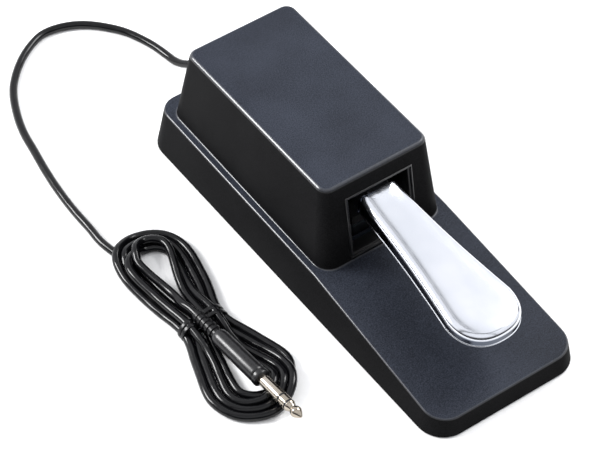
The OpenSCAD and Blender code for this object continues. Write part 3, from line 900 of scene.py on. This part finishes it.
@dataclass
class Cover:
    """The tall cover over the mechanism, and the frame that lines its opening."""

    # Half-width, rear, toe, corner and height of the foot's and of the top's outline
    foot: tuple[float, ...] = (37.35, 114.6, -23.0, 8.8, 20.0)
    top: tuple[float, ...] = (32.1, 104.5, -13.8, 5.8, 72.0)
    wall: float = 2.5
    edge: float = 2.3
    # Y and Z where the foot meets the deck, at the toe and at the rear
    cut_toe: tuple[float, float] = (-22.4, 23.0)
    cut_rear: tuple[float, float] = (113.5, 25.6)
    # The foot's fillet: how far above the deck it starts, then each step's drop and spread
    fillet_from: float = 1.3
    fillet: tuple[tuple[float, float], ...] = ((0.5, 0.02), (0.35, 0.12), (0.25, 0.3),
                                               (0.15, 0.55))
    # Radius, distance from the middle and places along Y, and the ends' heights
    posts: tuple[float, float, tuple[float, ...]] = (4.0, 29.5, (-11.0, 102.0))
    posts_z: tuple[float, float] = (26.5, 46.0)
    stop_rib: tuple[tuple[float, ...], tuple[float, ...]] = ((-6, 13, 63.5), (6, 29, 70.5))
    # Y and Z of the sloping front's lower edge, and the slot's half-width, foot and height on it
    front: tuple[float, float] = (-22.4, 23.4)
    slot: tuple[float, float, float] = (18.0, 3.4, 33.5)
    lip: float = 2.3
    # The frame's outer rim, the step inwards from it, and how far it stands out and reaches in
    rim: float = 1.0
    step: float = 1.1
    proud: float = 0.3
    throat: float = 8.5
    frame_edge: float = 0.32

    def build(self) -> list[bpy.types.Object]:
        """Builds the cover and its frame, and returns both."""
        return [self.shell(), self.frame()]

    def lean(self) -> float:
        """Returns the slope of the cover's front from upright, in radians."""
        return math.atan((self.top[2] - self.front[0]) / (self.top[4] - self.front[1]))

    def on_front(self) -> Matrix:
        """Returns the place of the sloping front: X across, Z up the slope, Y inwards."""
        return (Matrix.Translation((0, self.front[0] * MM, self.front[1] * MM))
                @ Matrix.Rotation(-self.lean(), 4, "X"))

    def shell(self) -> bpy.types.Object:
        """Builds the cover's shell, with its rounded top edge and its small foot fillet."""
        shell = drafted_shell("cover_shell", self.foot, self.top, 8)
        slope = (self.cut_rear[1] - self.cut_toe[1]) / (self.cut_rear[0] - self.cut_toe[0])
        saw(shell, (0, self.cut_toe[0], self.cut_toe[1] + self.fillet_from), (0, slope, -1),
            fill=False)
        just_below = (self.top[4] - 0.1) * MM
        with edit_mode(shell):
            pick(shell, Pick.EDGES, lambda e: all(v.co.z > just_below for v in e.verts))
            bpy.ops.mesh.bevel(offset=self.edge * MM, segments=7, profile=0.5,
                               affect="EDGES")
            pick(shell, Pick.EDGES, lambda e: e.is_boundary)
            half_w, half_l, middle_z = 37, 68, 0.0243
            middle = (0, (self.cut_toe[0] + self.cut_rear[0]) / 2 * MM, middle_z)
            for drop, spread in self.fillet:
                grow = spread + 0.05  # the walls' own slope over one step
                bpy.ops.mesh.extrude_edges_move(
                    TRANSFORM_OT_translate={"value": (0, 0, -drop * MM)})
                bpy.ops.transform.resize(value=(1 + grow / half_w, 1 + grow / half_l, 1),
                                         center_override=middle)
        use_modifier(shell, "SOLIDIFY", thickness=self.wall * MM, offset=-1.0,
                     use_even_offset=True)
        half, low, height = self.slot
        gap = self.lip + 0.15  # the frame is a loose fit
        opening = block("opening", (-half - gap, -5, low - gap),
                        (half + gap, 7, low + height + gap))
        bore(shell, settle_place(opening, self.on_front()))
        posts_from, posts_to = self.posts_z
        shell = merge([shell, block("stop_rib", *self.stop_rib),
                       *screw_posts(*self.posts, posts_from, lambda y: posts_to)],
                      "cover_shell")
        close_up(shell, 35)
        dress(BLACK_ABS, shell)
        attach(shell, "pedal_base")
        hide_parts("cover")
        return shell

    def frame(self) -> bpy.types.Object:
        """Builds the stepped frame: a thin outer rim, a step inwards and a deep throat."""
        half, low, height = self.slot
        behind_step = 1.6 * MM
        frame_piece = block("slot_frame_ring", (-half - self.lip, -self.proud, low - self.lip),
                            (half + self.lip, self.throat, low + height + self.lip))
        with edit_mode(frame_piece):
            pick(frame_piece, Pick.FACES, lambda f: f.normal.y < -0.9)
            bpy.ops.mesh.inset(thickness=self.rim * MM, depth=0)
            bpy.ops.mesh.extrude_region_move(
                TRANSFORM_OT_translate={"value": (0, self.step * MM, 0)})
            bpy.ops.mesh.inset(thickness=(self.lip - self.rim) * MM, depth=0)
            bpy.ops.mesh.delete(type="FACE")
            pick(frame_piece, Pick.FACES, lambda f: f.normal.y > 0.9)
            bpy.ops.mesh.inset(thickness=self.lip * MM, depth=0)
            bpy.ops.mesh.delete(type="FACE")
            pick(frame_piece, Pick.EDGES, lambda e: e.is_boundary)
            bpy.ops.mesh.bridge_edge_loops()
            pick(frame_piece, Pick.EDGES, lambda e: len(e.link_faces) == 2
                 and e.calc_face_angle(0) > 0.5
                 and all(v.co.y < behind_step for v in e.verts))
            bpy.ops.mesh.bevel(offset=self.frame_edge * MM, segments=3, affect="EDGES")
        settle_place(frame_piece, self.on_front())
        close_up(frame_piece, 30)
        dress(FRAME_ABS, frame_piece)
        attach(frame_piece, "pedal_base")
        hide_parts("slot_frame")
        return frame_piece


@dataclass
class FootPlate:
    """The chrome plate that the foot presses: a crowned top, a rolled edge and a thin lip.

    All its sizes are in the pedal's own frame, in millimetres from the pivot.
    """

    top: float = 7.5
    rear: float = 87.0
    neck: float = 11.4
    toe_half: float = 19.5
    bow: float = 1.2
    reach: float = 188.9
    toe_r: float = 20.4
    toe_power: float = 0.86
    roll: float = 3.6
    roll_steps: int = 10
    lip: float = 0.35
    wall: float = 1.4
    skirt_rear: float = 10.5
    skirt_toe: float = 7.2
    crown: float = 0.35
    # How much of each inset the rear end takes, up to the rolled edge
    rear_share: float = 0.1
    # The last stretch at the rear, and how far it rises over that
    kick: tuple[float, float] = (14.0, 1.05)

    # Inset of each ring of the lip, and its height above the skirt's lower edge
    LIP_RINGS = ((0.35, 0.0), (0.05, 0.1), (0.0, 0.35), (0.08, 0.6), (0.32, 0.8), (0.35, 1.1))
    # Insets over which the top crowns, from the rolled edge inwards
    CROWN_INSETS = (0.3, 0.8, 1.6, 2.8, 4.0, 5.0, 5.2)

    def half(self, ahead: float) -> float:
        """Returns the half-width of the outline at a distance ahead of the pivot."""
        t = (ahead - self.rear) / (self.reach - self.toe_r - self.rear)
        return self.neck + (self.toe_half - self.neck) * t - self.bow * math.sin(math.pi * t)

    def outline(self, inset: float) -> list[tuple[float, float]]:
        """Draws the outline in the pedal's own frame.

        Args:
            inset: how far inside the plate's own outline it lies, in millimetres.

        Returns:
            Its points, anticlockwise from above, always the same count.
        """
        sides, arc, corner = 22, 40, 5
        centre = self.reach - self.toe_r
        bend = 1 - inset / 14
        past_roll = max(inset - self.roll - self.lip, 0.0)
        start = self.rear + inset * self.rear_share + past_roll * (1 - self.rear_share)
        left = []
        for i in range(corner + 1):
            angle = math.pi / 2 * i / corner
            left.append((-self.half(start + bend) + inset + bend * (1 - math.sin(angle)),
                         -start - bend * (1 - math.cos(angle))))
        for i in range(1, sides + 1):
            ahead = start + bend + (centre - start - bend) * i / sides
            left.append((inset - self.half(ahead), -ahead))
        toe = []
        for i in range(1, arc):
            angle = math.pi * i / arc
            across, along = math.cos(angle), math.sin(angle)
            toe.append(((inset - self.toe_half)
                        * math.copysign(abs(across) ** self.toe_power, across),
                        -centre - (self.toe_r - inset) * along ** self.toe_power))
        return left + toe + [(-x, y) for x, y in reversed(left)]

    def rings(self) -> list[tuple[float, Callable[[float], float]]]:
        """Returns each ring's inset and its height as a function of Y, from the lip upwards."""
        def low(up: float) -> Callable[[float], float]:
            """Returns the height at Y of a ring that runs above the skirt's lower edge."""
            return lambda y: self.top + up - (self.skirt_rear + (
                self.skirt_toe - self.skirt_rear) * (-y - self.rear) / (self.reach - self.rear))

        def level(height: float) -> Callable[[float], float]:
            """Returns the height at Y of a level ring, which rises only at the rear."""
            length, rise = self.kick
            return lambda y: height + rise * max(0.0, 1 + (y + self.rear) / length) ** 2

        rings = [(inset, low(up)) for inset, up in self.LIP_RINGS]
        for k in range(self.roll_steps + 1):
            angle = math.radians(90 * k / self.roll_steps)
            rings.append((self.lip + self.roll * (1 - math.cos(angle)),
                          level(self.top - self.crown - self.roll * (1 - math.sin(angle)))))
        edge = self.lip + self.roll
        for inset in self.CROWN_INSETS:
            share = 1 - (1 - inset / self.CROWN_INSETS[-1]) ** 2
            rings.append((edge + inset, level(self.top - self.crown * (1 - share))))
        return rings

    def build(self) -> list[bpy.types.Object]:
        """Draws the plate up from its lip ring by ring, and returns the one piece."""
        rings = self.rings()
        points = self.outline(rings[0][0])
        bpy.ops.mesh.primitive_circle_add(vertices=len(points), radius=0.02, fill_type="NGON")
        plate = name_piece("chrome_foot_plate")
        for vertex, (x, y) in zip(plate.data.vertices, points):
            vertex.co = (x * MM, y * MM, rings[0][1](y) * MM)
        with edit_mode(plate):
            bpy.ops.mesh.select_all(action="SELECT")
            for inset, height in rings[1:]:
                before = {v.co.to_tuple(7): k for k, v in enumerate(
                    sorted((v for v in bmesh.from_edit_mesh(plate.data).verts if v.select),
                           key=lambda v: v.index))}
                bpy.ops.mesh.extrude_region_move(
                    TRANSFORM_OT_translate={"value": (0, 0, 0)})
                mesh = bmesh.from_edit_mesh(plate.data)
                order = [before[v.co.to_tuple(7)] for v in mesh.verts if v.select]
                target = self.outline(inset)
                for vertex, k in zip([v for v in mesh.verts if v.select], order):
                    x, y = target[k]
                    vertex.co = (x * MM, y * MM, height(y) * MM)
                bmesh.update_edit_mesh(plate.data)
            # Rows across the top, so that it can rise towards its rear without a crease
            near = 1e-7
            for k in range(1, len(points) // 2 - 1):
                x, y = target[k]
                pick(plate, Pick.VERTS, lambda v: v.co.z > (self.top - self.crown) * MM
                     and abs(v.co.y - y * MM) < near and abs(abs(v.co.x) + x * MM) < near)
                bpy.ops.mesh.vert_connect()
            # The face that the drawing started from closes the plate below, and comes off
            pick(plate, Pick.FACES, lambda f: len(f.verts) > 20
                 and f.calc_center_median().z < (self.top - 4) * MM)
            bpy.ops.mesh.delete(type="FACE")
            bpy.ops.mesh.select_all(action="SELECT")
            bpy.ops.mesh.normals_make_consistent(inside=False)
        use_modifier(plate, "SOLIDIFY", thickness=self.wall * MM, offset=-1.0)
        settle_place(plate, SETTING.at_pivot())
        close_up(plate, 50)
        dress(SATIN_CHROME, plate)
        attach(plate, "pedal")
        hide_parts("pedal_plate")
        return [plate]


@dataclass
class ReturnSpring:
    """The compression spring under the arm, wound at one length; the real one shortens as the
    pedal goes down.
    """

    wire_r: float = 0.7
    mean_r: float = 5.0
    turns: int = 8
    steps: int = 20
    low: float = 24.0
    high: float = 52.5
    # How far it stands in front of the pivot, and how much it shortens when pressed
    ahead: float = 58.0
    pressed: float = 8.2

    def build(self) -> list[bpy.types.Object]:
        """Winds the spring at one length; returns the one piece."""
        y = SETTING.pivot[1] - self.ahead * math.cos(math.radians(SETTING.tilt))
        height = self.high - self.low - 2 * self.wire_r
        dead = 2.1 * self.wire_r  # the rise over each closed end turn
        turn = np.linspace(0, self.turns, self.turns * self.steps + 1)
        lift = np.interp(turn, [0, 1, self.turns - 1, self.turns],
                         [0, dead, height - dead, height])
        angle = 2 * np.pi * turn
        path = np.stack([self.mean_r * np.cos(angle), y + self.mean_r * np.sin(angle),
                         self.low + self.wire_r + lift], 1) * MM
        spring = tube("return_spring_wire", path, self.wire_r * MM, 10, 5 * MM)
        dress(SPRING_WIRE, spring)
        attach(spring, "pedal_base")
        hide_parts("return_spring")
        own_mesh(spring)
        return [spring]


@dataclass
class SignalLead:
    """The lead from its outlet along the floor, its tied hank, and the plug on its end."""

    diameter: float = 4.4
    step: float = 2.6
    free: float = 350.0
    lay: float = 11.0
    tie_t: float = 0.9
    # How the turns settle: rounds, shares by which they push apart and pull back, and the sink
    rounds: int = 260
    push: float = 0.3
    pull: float = 0.012
    sink: float = 0.03
    # How many points either way a bend is evened out over, and by what share
    stiffness: tuple[tuple[int, float], ...] = ((1, 0.3), (4, 0.3))

    # Points of the free stretch, as the CAD model has them
    ROUTE = [(0, 143, 10), (-0.5, 149, 8.4), (-2, 155, 5.2), (-3, 161, 3), (-3.5, 167, 2.2),
             (-6, 180, 2.2), (-12, 195.5, 2.2), (-20.5, 207, 2.2), (-29, 214.5, 2.2),
             (-39, 219, 2.2), (-50, 220, 2.2), (-61, 215.5, 2.2), (-71, 208.5, 2.2),
             (-80.5, 199, 2.2), (-87, 189.5, 2.2), (-93, 176, 2.2), (-97, 163, 2.2),
             (-99.5, 148.5, 2.2), (-102, 134, 2.2), (-104, 118, 2.2), (-105, 102, 2.2),
             (-105, 87, 2.2), (-105, 73, 2.2)]

    # The hank's outer edge in the order that the lead takes it: X, Y and the way inwards.
    # The two Nones are where the tie holds the turns, and their places come from WAIST.
    EDGE = [((-111, 48), (1, 0)), ((-109.5, 25), (1, 0)), None, ((-113.2, -20), (1, 0)),
            ((-119.2, -41), (1, 0)), ((-112.6, -58.6), (0.7, 0.7)), ((-94.7, -66.2), (0, 1)),
            ((-76.4, -58.8), (-0.7, 0.7)), ((-68.9, -41), (-1, 0)), ((-75, -20), (-1, 0)),
            None, ((-74.5, 24), (-1, 0)), ((-70, 48), (-1, 0)), ((-76, 63.8), (-0.7, -0.7)),
            ((-90.5, 70), (0, -1)), ((-105, 63.8), (0.7, -0.7))]
    # Which lane from the outside each turn takes at each of those places, and its height in
    # diameters above the floor. The first turn crosses under the others at the toe end, and
    # at the rear end the fourth turn lies on the others.
    LANES = [[(2.0, 0), (2.2, 0), None, (2.7, 0), (3, 0), (2.9, 0), (2.5, 0), (1.5, 0), (0.3, 0),
              (0, 0), None, (0, 0), (0, 0), (0, 0), (0, 0.2), (0, 0.9)],
             [(0, 0.5), (0, 0), None, (0, 0), (0, 0), (0, 0), (0, 0.1), (0.5, 0.8), (1, 0.4),
              (1, 0), None, (1, 0), (1, 0), (1, 0), (1, 0.2), (1, 0.9)],
             [(1, 0.5), (1, 0), None, (1, 0), (1, 0), (1, 0), (1.1, 0.2), (1.5, 1.0), (2, 0.4),
              (2, 0), None, (2, 0), (2, 0), (2, 0), (2, 0), (1.6, 1.0)],
             [(0.6, 1.3), (0.7, 0.87), None, (1.8, 0.3), (2, 0), (2, 0), (2.1, 0.4), (2.6, 1.0),
              (2.9, 0.3), (2.9, 0), None, (2.8, 0.3), (2.1, 0.87), (1.6, 0.87), (1.5, 0.87),
              (1.8, 1.4)],
             [(1.8, 1.1), (2.3, 0.87)]]
    # Places of the turns in the tie across X from the hank's middle, and their heights
    WAIST = [(0.0, 3.1, 10.6, 3.1), (-10.6, 3.1, 5.3, 3.1), (-5.3, 3.1, 7.95, 6.6),
             (-7.95, 6.6, 2.65, 6.6)]
    WAIST_AT = (-94.0, 1.0)
    # Points where the lead rises from the hank into the plug's tail
    RISE = [(-97.6, 14.0, 8.6), (-96.6, 8.0, 9.8), (-96.2, 3.0, 10.0), (-96.0, -0.5, 10.0)]
    # The tie's section across the hank, X from its middle and Z, with a dip under the plug
    TIE = [(-13.6, 4.2), (-11.6, 7.6), (-8.4, 9.35), (-5.4, 8.2), (-3.4, 6.2), (-0.6, 6.2),
           (1.2, 8.6), (3.2, 9.3), (7.6, 9.35), (10.6, 7.9), (13.6, 4.2), (13.2, 1.6),
           (11.0, 0.45), (0, 0.45), (-11.0, 0.45), (-13.2, 1.6)]
    # Each band of the tie: its shift along Y and how it leans
    BANDS = ((-1.7, 0.0), (1.5, 0.05))

    def seed(self) -> np.ndarray:
        """Returns the points that the whole centreline is drawn through, in millimetres."""
        points = [np.array(p, float) for p in self.ROUTE]
        radius = self.diameter / 2
        for turn, lanes in enumerate(self.LANES):
            for place, lane in enumerate(lanes):
                if lane is None:
                    left = place < len(lanes) // 2
                    x, z = self.WAIST[turn][:2] if left else self.WAIST[turn][2:]
                    points.append(np.array((self.WAIST_AT[0] + x, self.WAIST_AT[1], z)))
                    continue
                (x, y), inwards = self.EDGE[place]
                offset = (lane[0] + 0.5) * self.diameter
                points.append(np.array((x + inwards[0] * offset, y + inwards[1] * offset,
                                        radius + lane[1] * self.diameter)))
        return np.array(points + [np.array(p, float) for p in self.RISE])

    def smooth(self, points: np.ndarray) -> np.ndarray:
        """Draws a Catmull-Rom curve through points, and spaces it evenly.

        Args:
            points: the places that the curve passes.

        Returns:
            Points of the curve, about one step apart.
        """
        padded = np.vstack([2 * points[0] - points[1], points, 2 * points[-1] - points[-2]])
        t = np.linspace(0, 1, 12, endpoint=False)[:, None]
        parts = []
        for a, b, c, d in zip(padded, padded[1:], padded[2:], padded[3:]):
            parts.append(0.5 * (2 * b + (c - a) * t + (2 * a - 5 * b + 4 * c - d) * t ** 2
                                + (3 * b - a - 3 * c + d) * t ** 3))
        return self.even(np.vstack(parts + [points[-1:]]))

    def even(self, curve: np.ndarray) -> np.ndarray:
        """Spaces a curve's points evenly.

        Args:
            curve: its points, closely spaced.

        Returns:
            Points about one step apart, with the same ends.
        """
        gaps = np.linalg.norm(np.diff(curve, axis=0), axis=1)
        along = np.concatenate([[0.0], np.cumsum(gaps)])
        stations = np.linspace(0, along[-1], int(round(along[-1] / self.step)) + 1)
        return np.stack([np.interp(stations, along, curve[:, k]) for k in range(3)], 1)

    def floor_under(self, path: np.ndarray) -> np.ndarray:
        """Finds how low each point may lie: on the floor, or on the tie at the waist.

        Args:
            path: the centreline's points in millimetres.

        Returns:
            The least height of each point.
        """
        tie_reach, hank_side = 3.5, -80
        near = np.abs(path[:, 1] - self.WAIST_AT[1]) < tie_reach
        inside = (path[:, 0] < hank_side) & near
        return self.diameter / 2 + np.where(inside, self.tie_t, 0.0)

    def centreline(self) -> np.ndarray:
        """Lets the turns settle on each other, and returns the centreline in metres."""
        path = self.smooth(self.seed())
        aim = path.copy()
        count = len(path)
        index = np.arange(count)
        neighbours, nought = 6, 1e-9
        apart = np.abs(index[:, None] - index[None, :]) > neighbours
        held = np.zeros(count, bool)
        held[:int(self.free / self.step)] = True
        held[-3:] = True
        for _ in range(self.rounds):
            delta = path[:, None] - path[None, :]
            distance = np.sqrt((delta ** 2).sum(2)) + nought
            close = np.where((distance < self.diameter) & apart,
                             (self.diameter - distance) / distance, 0.0)
            change = (delta * close[..., None]).sum(1) * self.push
            change += (aim - path) * np.array((self.pull, self.pull, 0.0))
            moved = path - aim
            for reach, share in self.stiffness:
                middle = (moved[:-2 * reach] + moved[2 * reach:]) / 2
                change[reach:-reach] += (middle - moved[reach:-reach]) * share
            change[:, 2] -= self.sink
            change[held] = 0
            path = path + change
            path[:, 2] = np.maximum(path[:, 2], self.floor_under(path))
        return self.even(path) * MM

    def build(self) -> list[bpy.types.Object]:
        """Builds the lead, its strain relief, the tie and the plug.

        Returns:
            The pieces, with the lead first.
        """
        path = self.centreline()
        lead = tube("signal_lead", path, self.diameter / 2 * MM, 14, self.lay * MM)
        dress(LEAD_JACKET, lead)
        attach(lead, "pedal_base")
        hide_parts("cord_lead", "cord_hank")
        tie = self.tie()
        relief = self.relief()
        plug = self.plug()
        return [lead, tie, relief, *plug]

    def tie(self) -> bpy.types.Object:
        """Builds the tie: two flat bands round the hank's waist that dip under the plug."""
        x0, y0 = self.WAIST_AT
        width, thickness, edge = 2.2, 0.85, 0.3
        bands = []
        for shift, lean in self.BANDS:
            bpy.ops.mesh.primitive_circle_add(vertices=len(self.TIE), radius=0.01,
                                              fill_type="NOTHING")
            band = name_piece("tie_band")
            for vertex, (x, z) in zip(band.data.vertices, self.TIE):
                vertex.co = ((x0 + x) * MM, (y0 + shift - width / 2 + lean * x) * MM, z * MM)
            with edit_mode(band):
                bpy.ops.mesh.select_all(action="SELECT")
                bpy.ops.mesh.extrude_region_move(
                    TRANSFORM_OT_translate={"value": (0, width * MM, 0)})
                bpy.ops.mesh.select_all(action="SELECT")
                bpy.ops.mesh.normals_make_consistent(inside=False)
            use_modifier(band, "SOLIDIFY", thickness=thickness * MM, offset=0.0)
            use_modifier(band, "BEVEL", width=edge * MM, segments=2, limit_method="ANGLE",
                         angle_limit=math.radians(50))
            use_modifier(band, "SUBSURF", levels=2, render_levels=2)
            bands.append(band)
        tie = close_up(merge(bands, "hank_tie"), 60)
        dress(TIE_JACKET, tie)
        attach(tie, "pedal_base")
        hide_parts("twist_tie")
        return tie

    def relief(self) -> bpy.types.Object:
        """Builds the ribbed strain relief that the lead leaves the base through."""
        stations = [(-8.8, 5.8), (-6.8, 5.8), (-6.7, 4.5), (0.0, 4.5), (0.05, 5.7), (0.35, 6.0),
                    (1.6, 6.0), (2.0, 5.6), (2.1, 3.5)]
        for k in range(5):
            z, r = 4 + k * 2.9, 4.5 - k * 0.2
            neck = 3.5 - 0.7 * (z - 2) / 16.4
            stations += [(z - 0.1, neck), (z, r - 0.3), (z + 0.3, r), (z + 1.2, r - 0.05),
                         (z + 1.5, r - 0.35), (z + 1.6, neck)]
        stations += [(18.0, 2.9), (18.4, 2.5)]
        relief = settle_place(turned("lead_strain_relief", stations, 40), SETTING.at_outlet())
        dress(RELIEF_PVC, relief)
        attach(relief, "pedal_base")
        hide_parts("strain_relief")
        return relief

    def plug(self) -> list[bpy.types.Object]:
        """Builds the plug's pieces from its ribbed tail to its tip.

        Returns:
            The seven pieces, on one axis.
        """
        ribs: list[Station] = [(0.0, 2.6), (1.3, 2.7)]
        for k in range(5):
            z, r = 1.5 + k * 3, 3.2 + k * 0.12
            ribs += [(z, r - 0.25), (z + 0.25, r), (z + 1.35, r), (z + 1.6, r - 0.25),
                     (z + 1.75, 2.75 + 0.06 * k), (z + 2.8, 2.78 + 0.06 * k)]
        ribs += [(17.0, 3.1)]
        handle = [(17.0, 3.3), (17.2, 3.8), (17.8, 4.15), (20.0, 4.5), (22.0, 4.55),
                  (40.0, 4.65), (47.6, 4.7), (48.6, 4.6), (49.0, 4.3)]
        collar = [(49.0, 4.5), (49.3, 4.85), (50.2, 4.9), (51.4, 4.9), (51.8, 4.75),
                  (52.0, 4.4)]
        tip = [(72.5, 3.0), (72.6, 3.175), (73.3, 3.175), (74.0, 2.75), (75.1, 2.25),
               (75.7, 2.2), (76.4, 2.6), (77.2, 2.95), (78.0, 3.05), (78.9, 2.85),
               (80.0, 2.2), (81.0, 1.45), (81.7, 0.95), (82.1, 0.5), (82.2, 0.1)]
        rows = [("plug_relief", "plug_tail_ribs", ribs, RELIEF_PVC, "pvc"),
                ("plug_handle", "plug_grip", handle, PLUG_SHELL, "plug_plastic"),
                ("plug_collar", "plug_shoulder", collar, PLUG_SHELL, "plug_plastic"),
                ("plug_sleeve", "plug_shaft_sleeve",
                 [(52.0, 3.1), (52.2, 3.175), (66.4, 3.175), (66.5, 3.08)], NICKEL, "nickel"),
                ("plug_ring", "plug_shaft_ring",
                 [(67.5, 3.08), (67.6, 3.175), (71.4, 3.175), (71.5, 3.08)], NICKEL,
                 "nickel"),
                ("plug_tip", "plug_shaft_tip", tip, NICKEL, "nickel")]
        pieces = []
        for node, name, stations, finish, slot in rows:
            piece = settle_place(turned(name, stations, 40), SETTING.on_plug())
            dress(finish, piece)
            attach(piece, "pedal_base")
            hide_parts(node)
            pieces.append(piece)
        washers = [turned("washer", [(z, 2.9), (z + 0.05, 3.0), (z + 0.95, 3.0), (z + 1, 2.9)],
                          40) for z in (66.5, 71.5)]
        washer = settle_place(merge(washers, "plug_insulating_rings"), SETTING.on_plug())
        dress(PLUG_SHELL, washer)
        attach(washer, "pedal_base")
        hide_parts("plug_insulators")
        return pieces + [washer]


@dataclass
class Mechanism:
    """The inner pieces, which keep their CAD shapes and take real finishes."""

    def build(self) -> list[bpy.types.Object]:
        """Dresses the carried-over nodes and returns them."""
        rows = {
            ZINC_SHEET: ["bottom_plate", "pivot_bracket"],
            SCREW_ZINC: ["plate_screws", "cover_screws", "bracket_screws", "pivot_pin",
                         "sensor_nut", "clamp_screws", "plate_nuts", "quadrant_screws",
                         "sensor_shaft"],
            SPRING_WIRE: ["pin_clips"],
            NATURAL_NYLON: ["spring_post", "cord_clamp", "arm_bushes", "quadrant",
                            "spring_cup", "pinion"],
            GREY_FELT: ["upper_stop_pad"],
            SOLE_RUBBER: ["lower_stop_pad"],
            GREEN_PHENOLIC: ["sensor_body"],
            TINNED_BRASS: ["sensor_terminals"],
            WIRE_PVC: ["sensor_wires"],
            RELIEF_PVC: ["cord_tail"],
            ARM_PAINT: ["pedal_arm"],
        }
        dressed = []
        for finish, nodes in rows.items():
            for node in nodes:
                dress(finish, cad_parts[node])
                dressed.append(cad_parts[node])
        return dressed


# ---- Studio ----


@dataclass
class Studio:
    """The pale floor, the soft lights and the camera."""

    # The camera's focal length, in the same measure as the width of its frame
    focal: float = 2743.84
    frame_width: float = 600.0
    sensor: float = 36.0
    azimuth: float = -36.0
    elevation: float = 48.4
    roll: float = 0.488
    # Where it stands along its own axes: right, up and back, in millimetres
    shift: tuple[float, float, float] = (-28.847, 10.347, 1392.07)
    # What the lights face, in metres
    middle: tuple[float, float, float] = (-0.02, 0.03, 0.02)
    # The seams between the tent's panels: axis, place along it and width
    seams: tuple[tuple[str, float, float], ...] = (("X", 0.24, 0.04), ("Y", -0.04, 0.1))

    def place_camera(self) -> None:
        """Places the camera and makes it the scene's."""
        a, e, r = (math.radians(v) for v in (self.azimuth, self.elevation, self.roll))
        back = Vector((math.sin(a) * math.cos(e), -math.cos(a) * math.cos(e), math.sin(e)))
        right = Vector((0, 0, 1)).cross(back).normalized()
        upward = back.cross(right)
        axes = (math.cos(r) * right + math.sin(r) * upward,
                math.cos(r) * upward - math.sin(r) * right, back)
        place = sum((axis * (v * MM) for axis, v in zip(axes, self.shift)), Vector())
        turn = Matrix([(axes[0][k], axes[1][k], axes[2][k]) for k in range(3)]).to_4x4()
        bpy.ops.object.camera_add()
        camera = bpy.context.active_object
        camera.name = "studio_camera"
        camera.matrix_world = Matrix.Translation(place) @ turn
        camera.data.sensor_width = self.sensor
        camera.data.lens = self.focal / self.frame_width * self.sensor
        camera.data.clip_end = 20
        bpy.context.scene.camera = camera

    def light(self, name: str, place: Sequence[float], size: float, power: float) -> None:
        """Adds one square soft white light that faces the object's middle.

        Args:
            name: the light's name.
            place: where it hangs, in metres.
            size: length of its side in metres.
            power: in watts.
        """
        bpy.ops.object.light_add(type="AREA", location=place)
        lamp = bpy.context.active_object
        lamp.name = name
        lamp.data.size = size
        lamp.data.energy = power
        aim = Vector(self.middle) - Vector(place)
        lamp.rotation_euler = aim.to_track_quat("-Z", "Y").to_euler()

    def lay_floor(self) -> None:
        """Lays the floor, of matt white paper with a fibre too faint to see from afar."""
        bpy.ops.mesh.primitive_plane_add(size=12, location=(0, 0, 0))
        floor = name_piece("studio_floor")
        material, shader = start_material("matt_white_paper", Roughness=0.9,
                                          Specular_IOR_Level=0.1)
        tree = material.node_tree
        place = add_node(tree, "TexCoord").outputs["Object"]
        fibre = add_node(tree, "TexNoise", {"Vector": place, "Scale": 1 / (3 * MM)})
        tint = add_node(tree, "ValToRGB", {"Fac": fibre.outputs["Fac"]},
                        ((0.0, "#f0f0f0"), (1.0, "#f6f6f6")))
        tree.links.new(tint.outputs["Color"], shader.inputs["Base Color"])
        floor.data.materials.append(material)

    def hang_tent(self) -> None:
        """Surrounds the scene with a white tent, whose seams the chrome shows as dark lines."""
        world = bpy.data.worlds.new("studio_air")
        bpy.context.scene.world = world
        world.use_nodes = True
        air = world.node_tree
        way = add_node(air, "TexCoord").outputs["Generated"]
        split = add_node(air, "SeparateXYZ", {"Vector": way})
        # It reaches the horizon at the rear and on the right, and elsewhere stays open below
        open_front = add_node(air, "Math", {0: split.outputs["Y"], 1: 0.4,
                                            2: split.outputs["Z"]}, operation="MULTIPLY_ADD")
        open_side = add_node(air, "Math", {0: split.outputs["X"], 1: 0.25,
                                           2: open_front.outputs[0]}, operation="MULTIPLY_ADD")
        glow = add_node(air, "MapRange", {"Value": open_side.outputs[0], "From Min": 0.02,
                                          "From Max": 0.32, "To Min": 0.06, "To Max": 1.32})
        strength = glow.outputs["Result"]
        for axis, middle, width in self.seams:
            away = add_node(air, "Math", {0: split.outputs[axis], 1: middle},
                            operation="SUBTRACT")
            gap = add_node(air, "Math", {0: away.outputs[0]}, operation="ABSOLUTE")
            seam = add_node(air, "MapRange", {"Value": gap.outputs[0], "From Min": width * 0.3,
                                              "From Max": width, "To Min": 0.2})
            strength = add_node(air, "Math", {0: strength, 1: seam.outputs[0]},
                                operation="MULTIPLY").outputs[0]
        air.links.new(strength, air.nodes["Background"].inputs["Strength"])
        air.nodes["Background"].inputs["Color"].default_value = linear("#fbfcff")

    def build(self) -> None:
        """Places the camera, and builds the floor, the tent and the lights."""
        self.place_camera()
        self.lay_floor()
        self.hang_tent()
        self.light("right_softbox", (0.95, 0.0, 1.05), 0.6, 14.0)
        self.light("rear_left_strip", (-0.95, 0.8, 0.85), 0.5, 26.0)
        bpy.context.scene.view_settings.view_transform = "Standard"


def main() -> None:
    """Builds every sub-assembly in order and reports each piece."""
    logging.basicConfig(level=logging.INFO, format="%(name)s: %(message)s")
    Studio().build()
    for part in (SignalLead(), WedgeBase(), Cover(), FootPlate(), ReturnSpring(),
                 Mechanism()):
        for piece in part.build():
            LOG.info("%s: %s", type(part).__name__, piece.name)


if __name__ == "__main__":
    main()
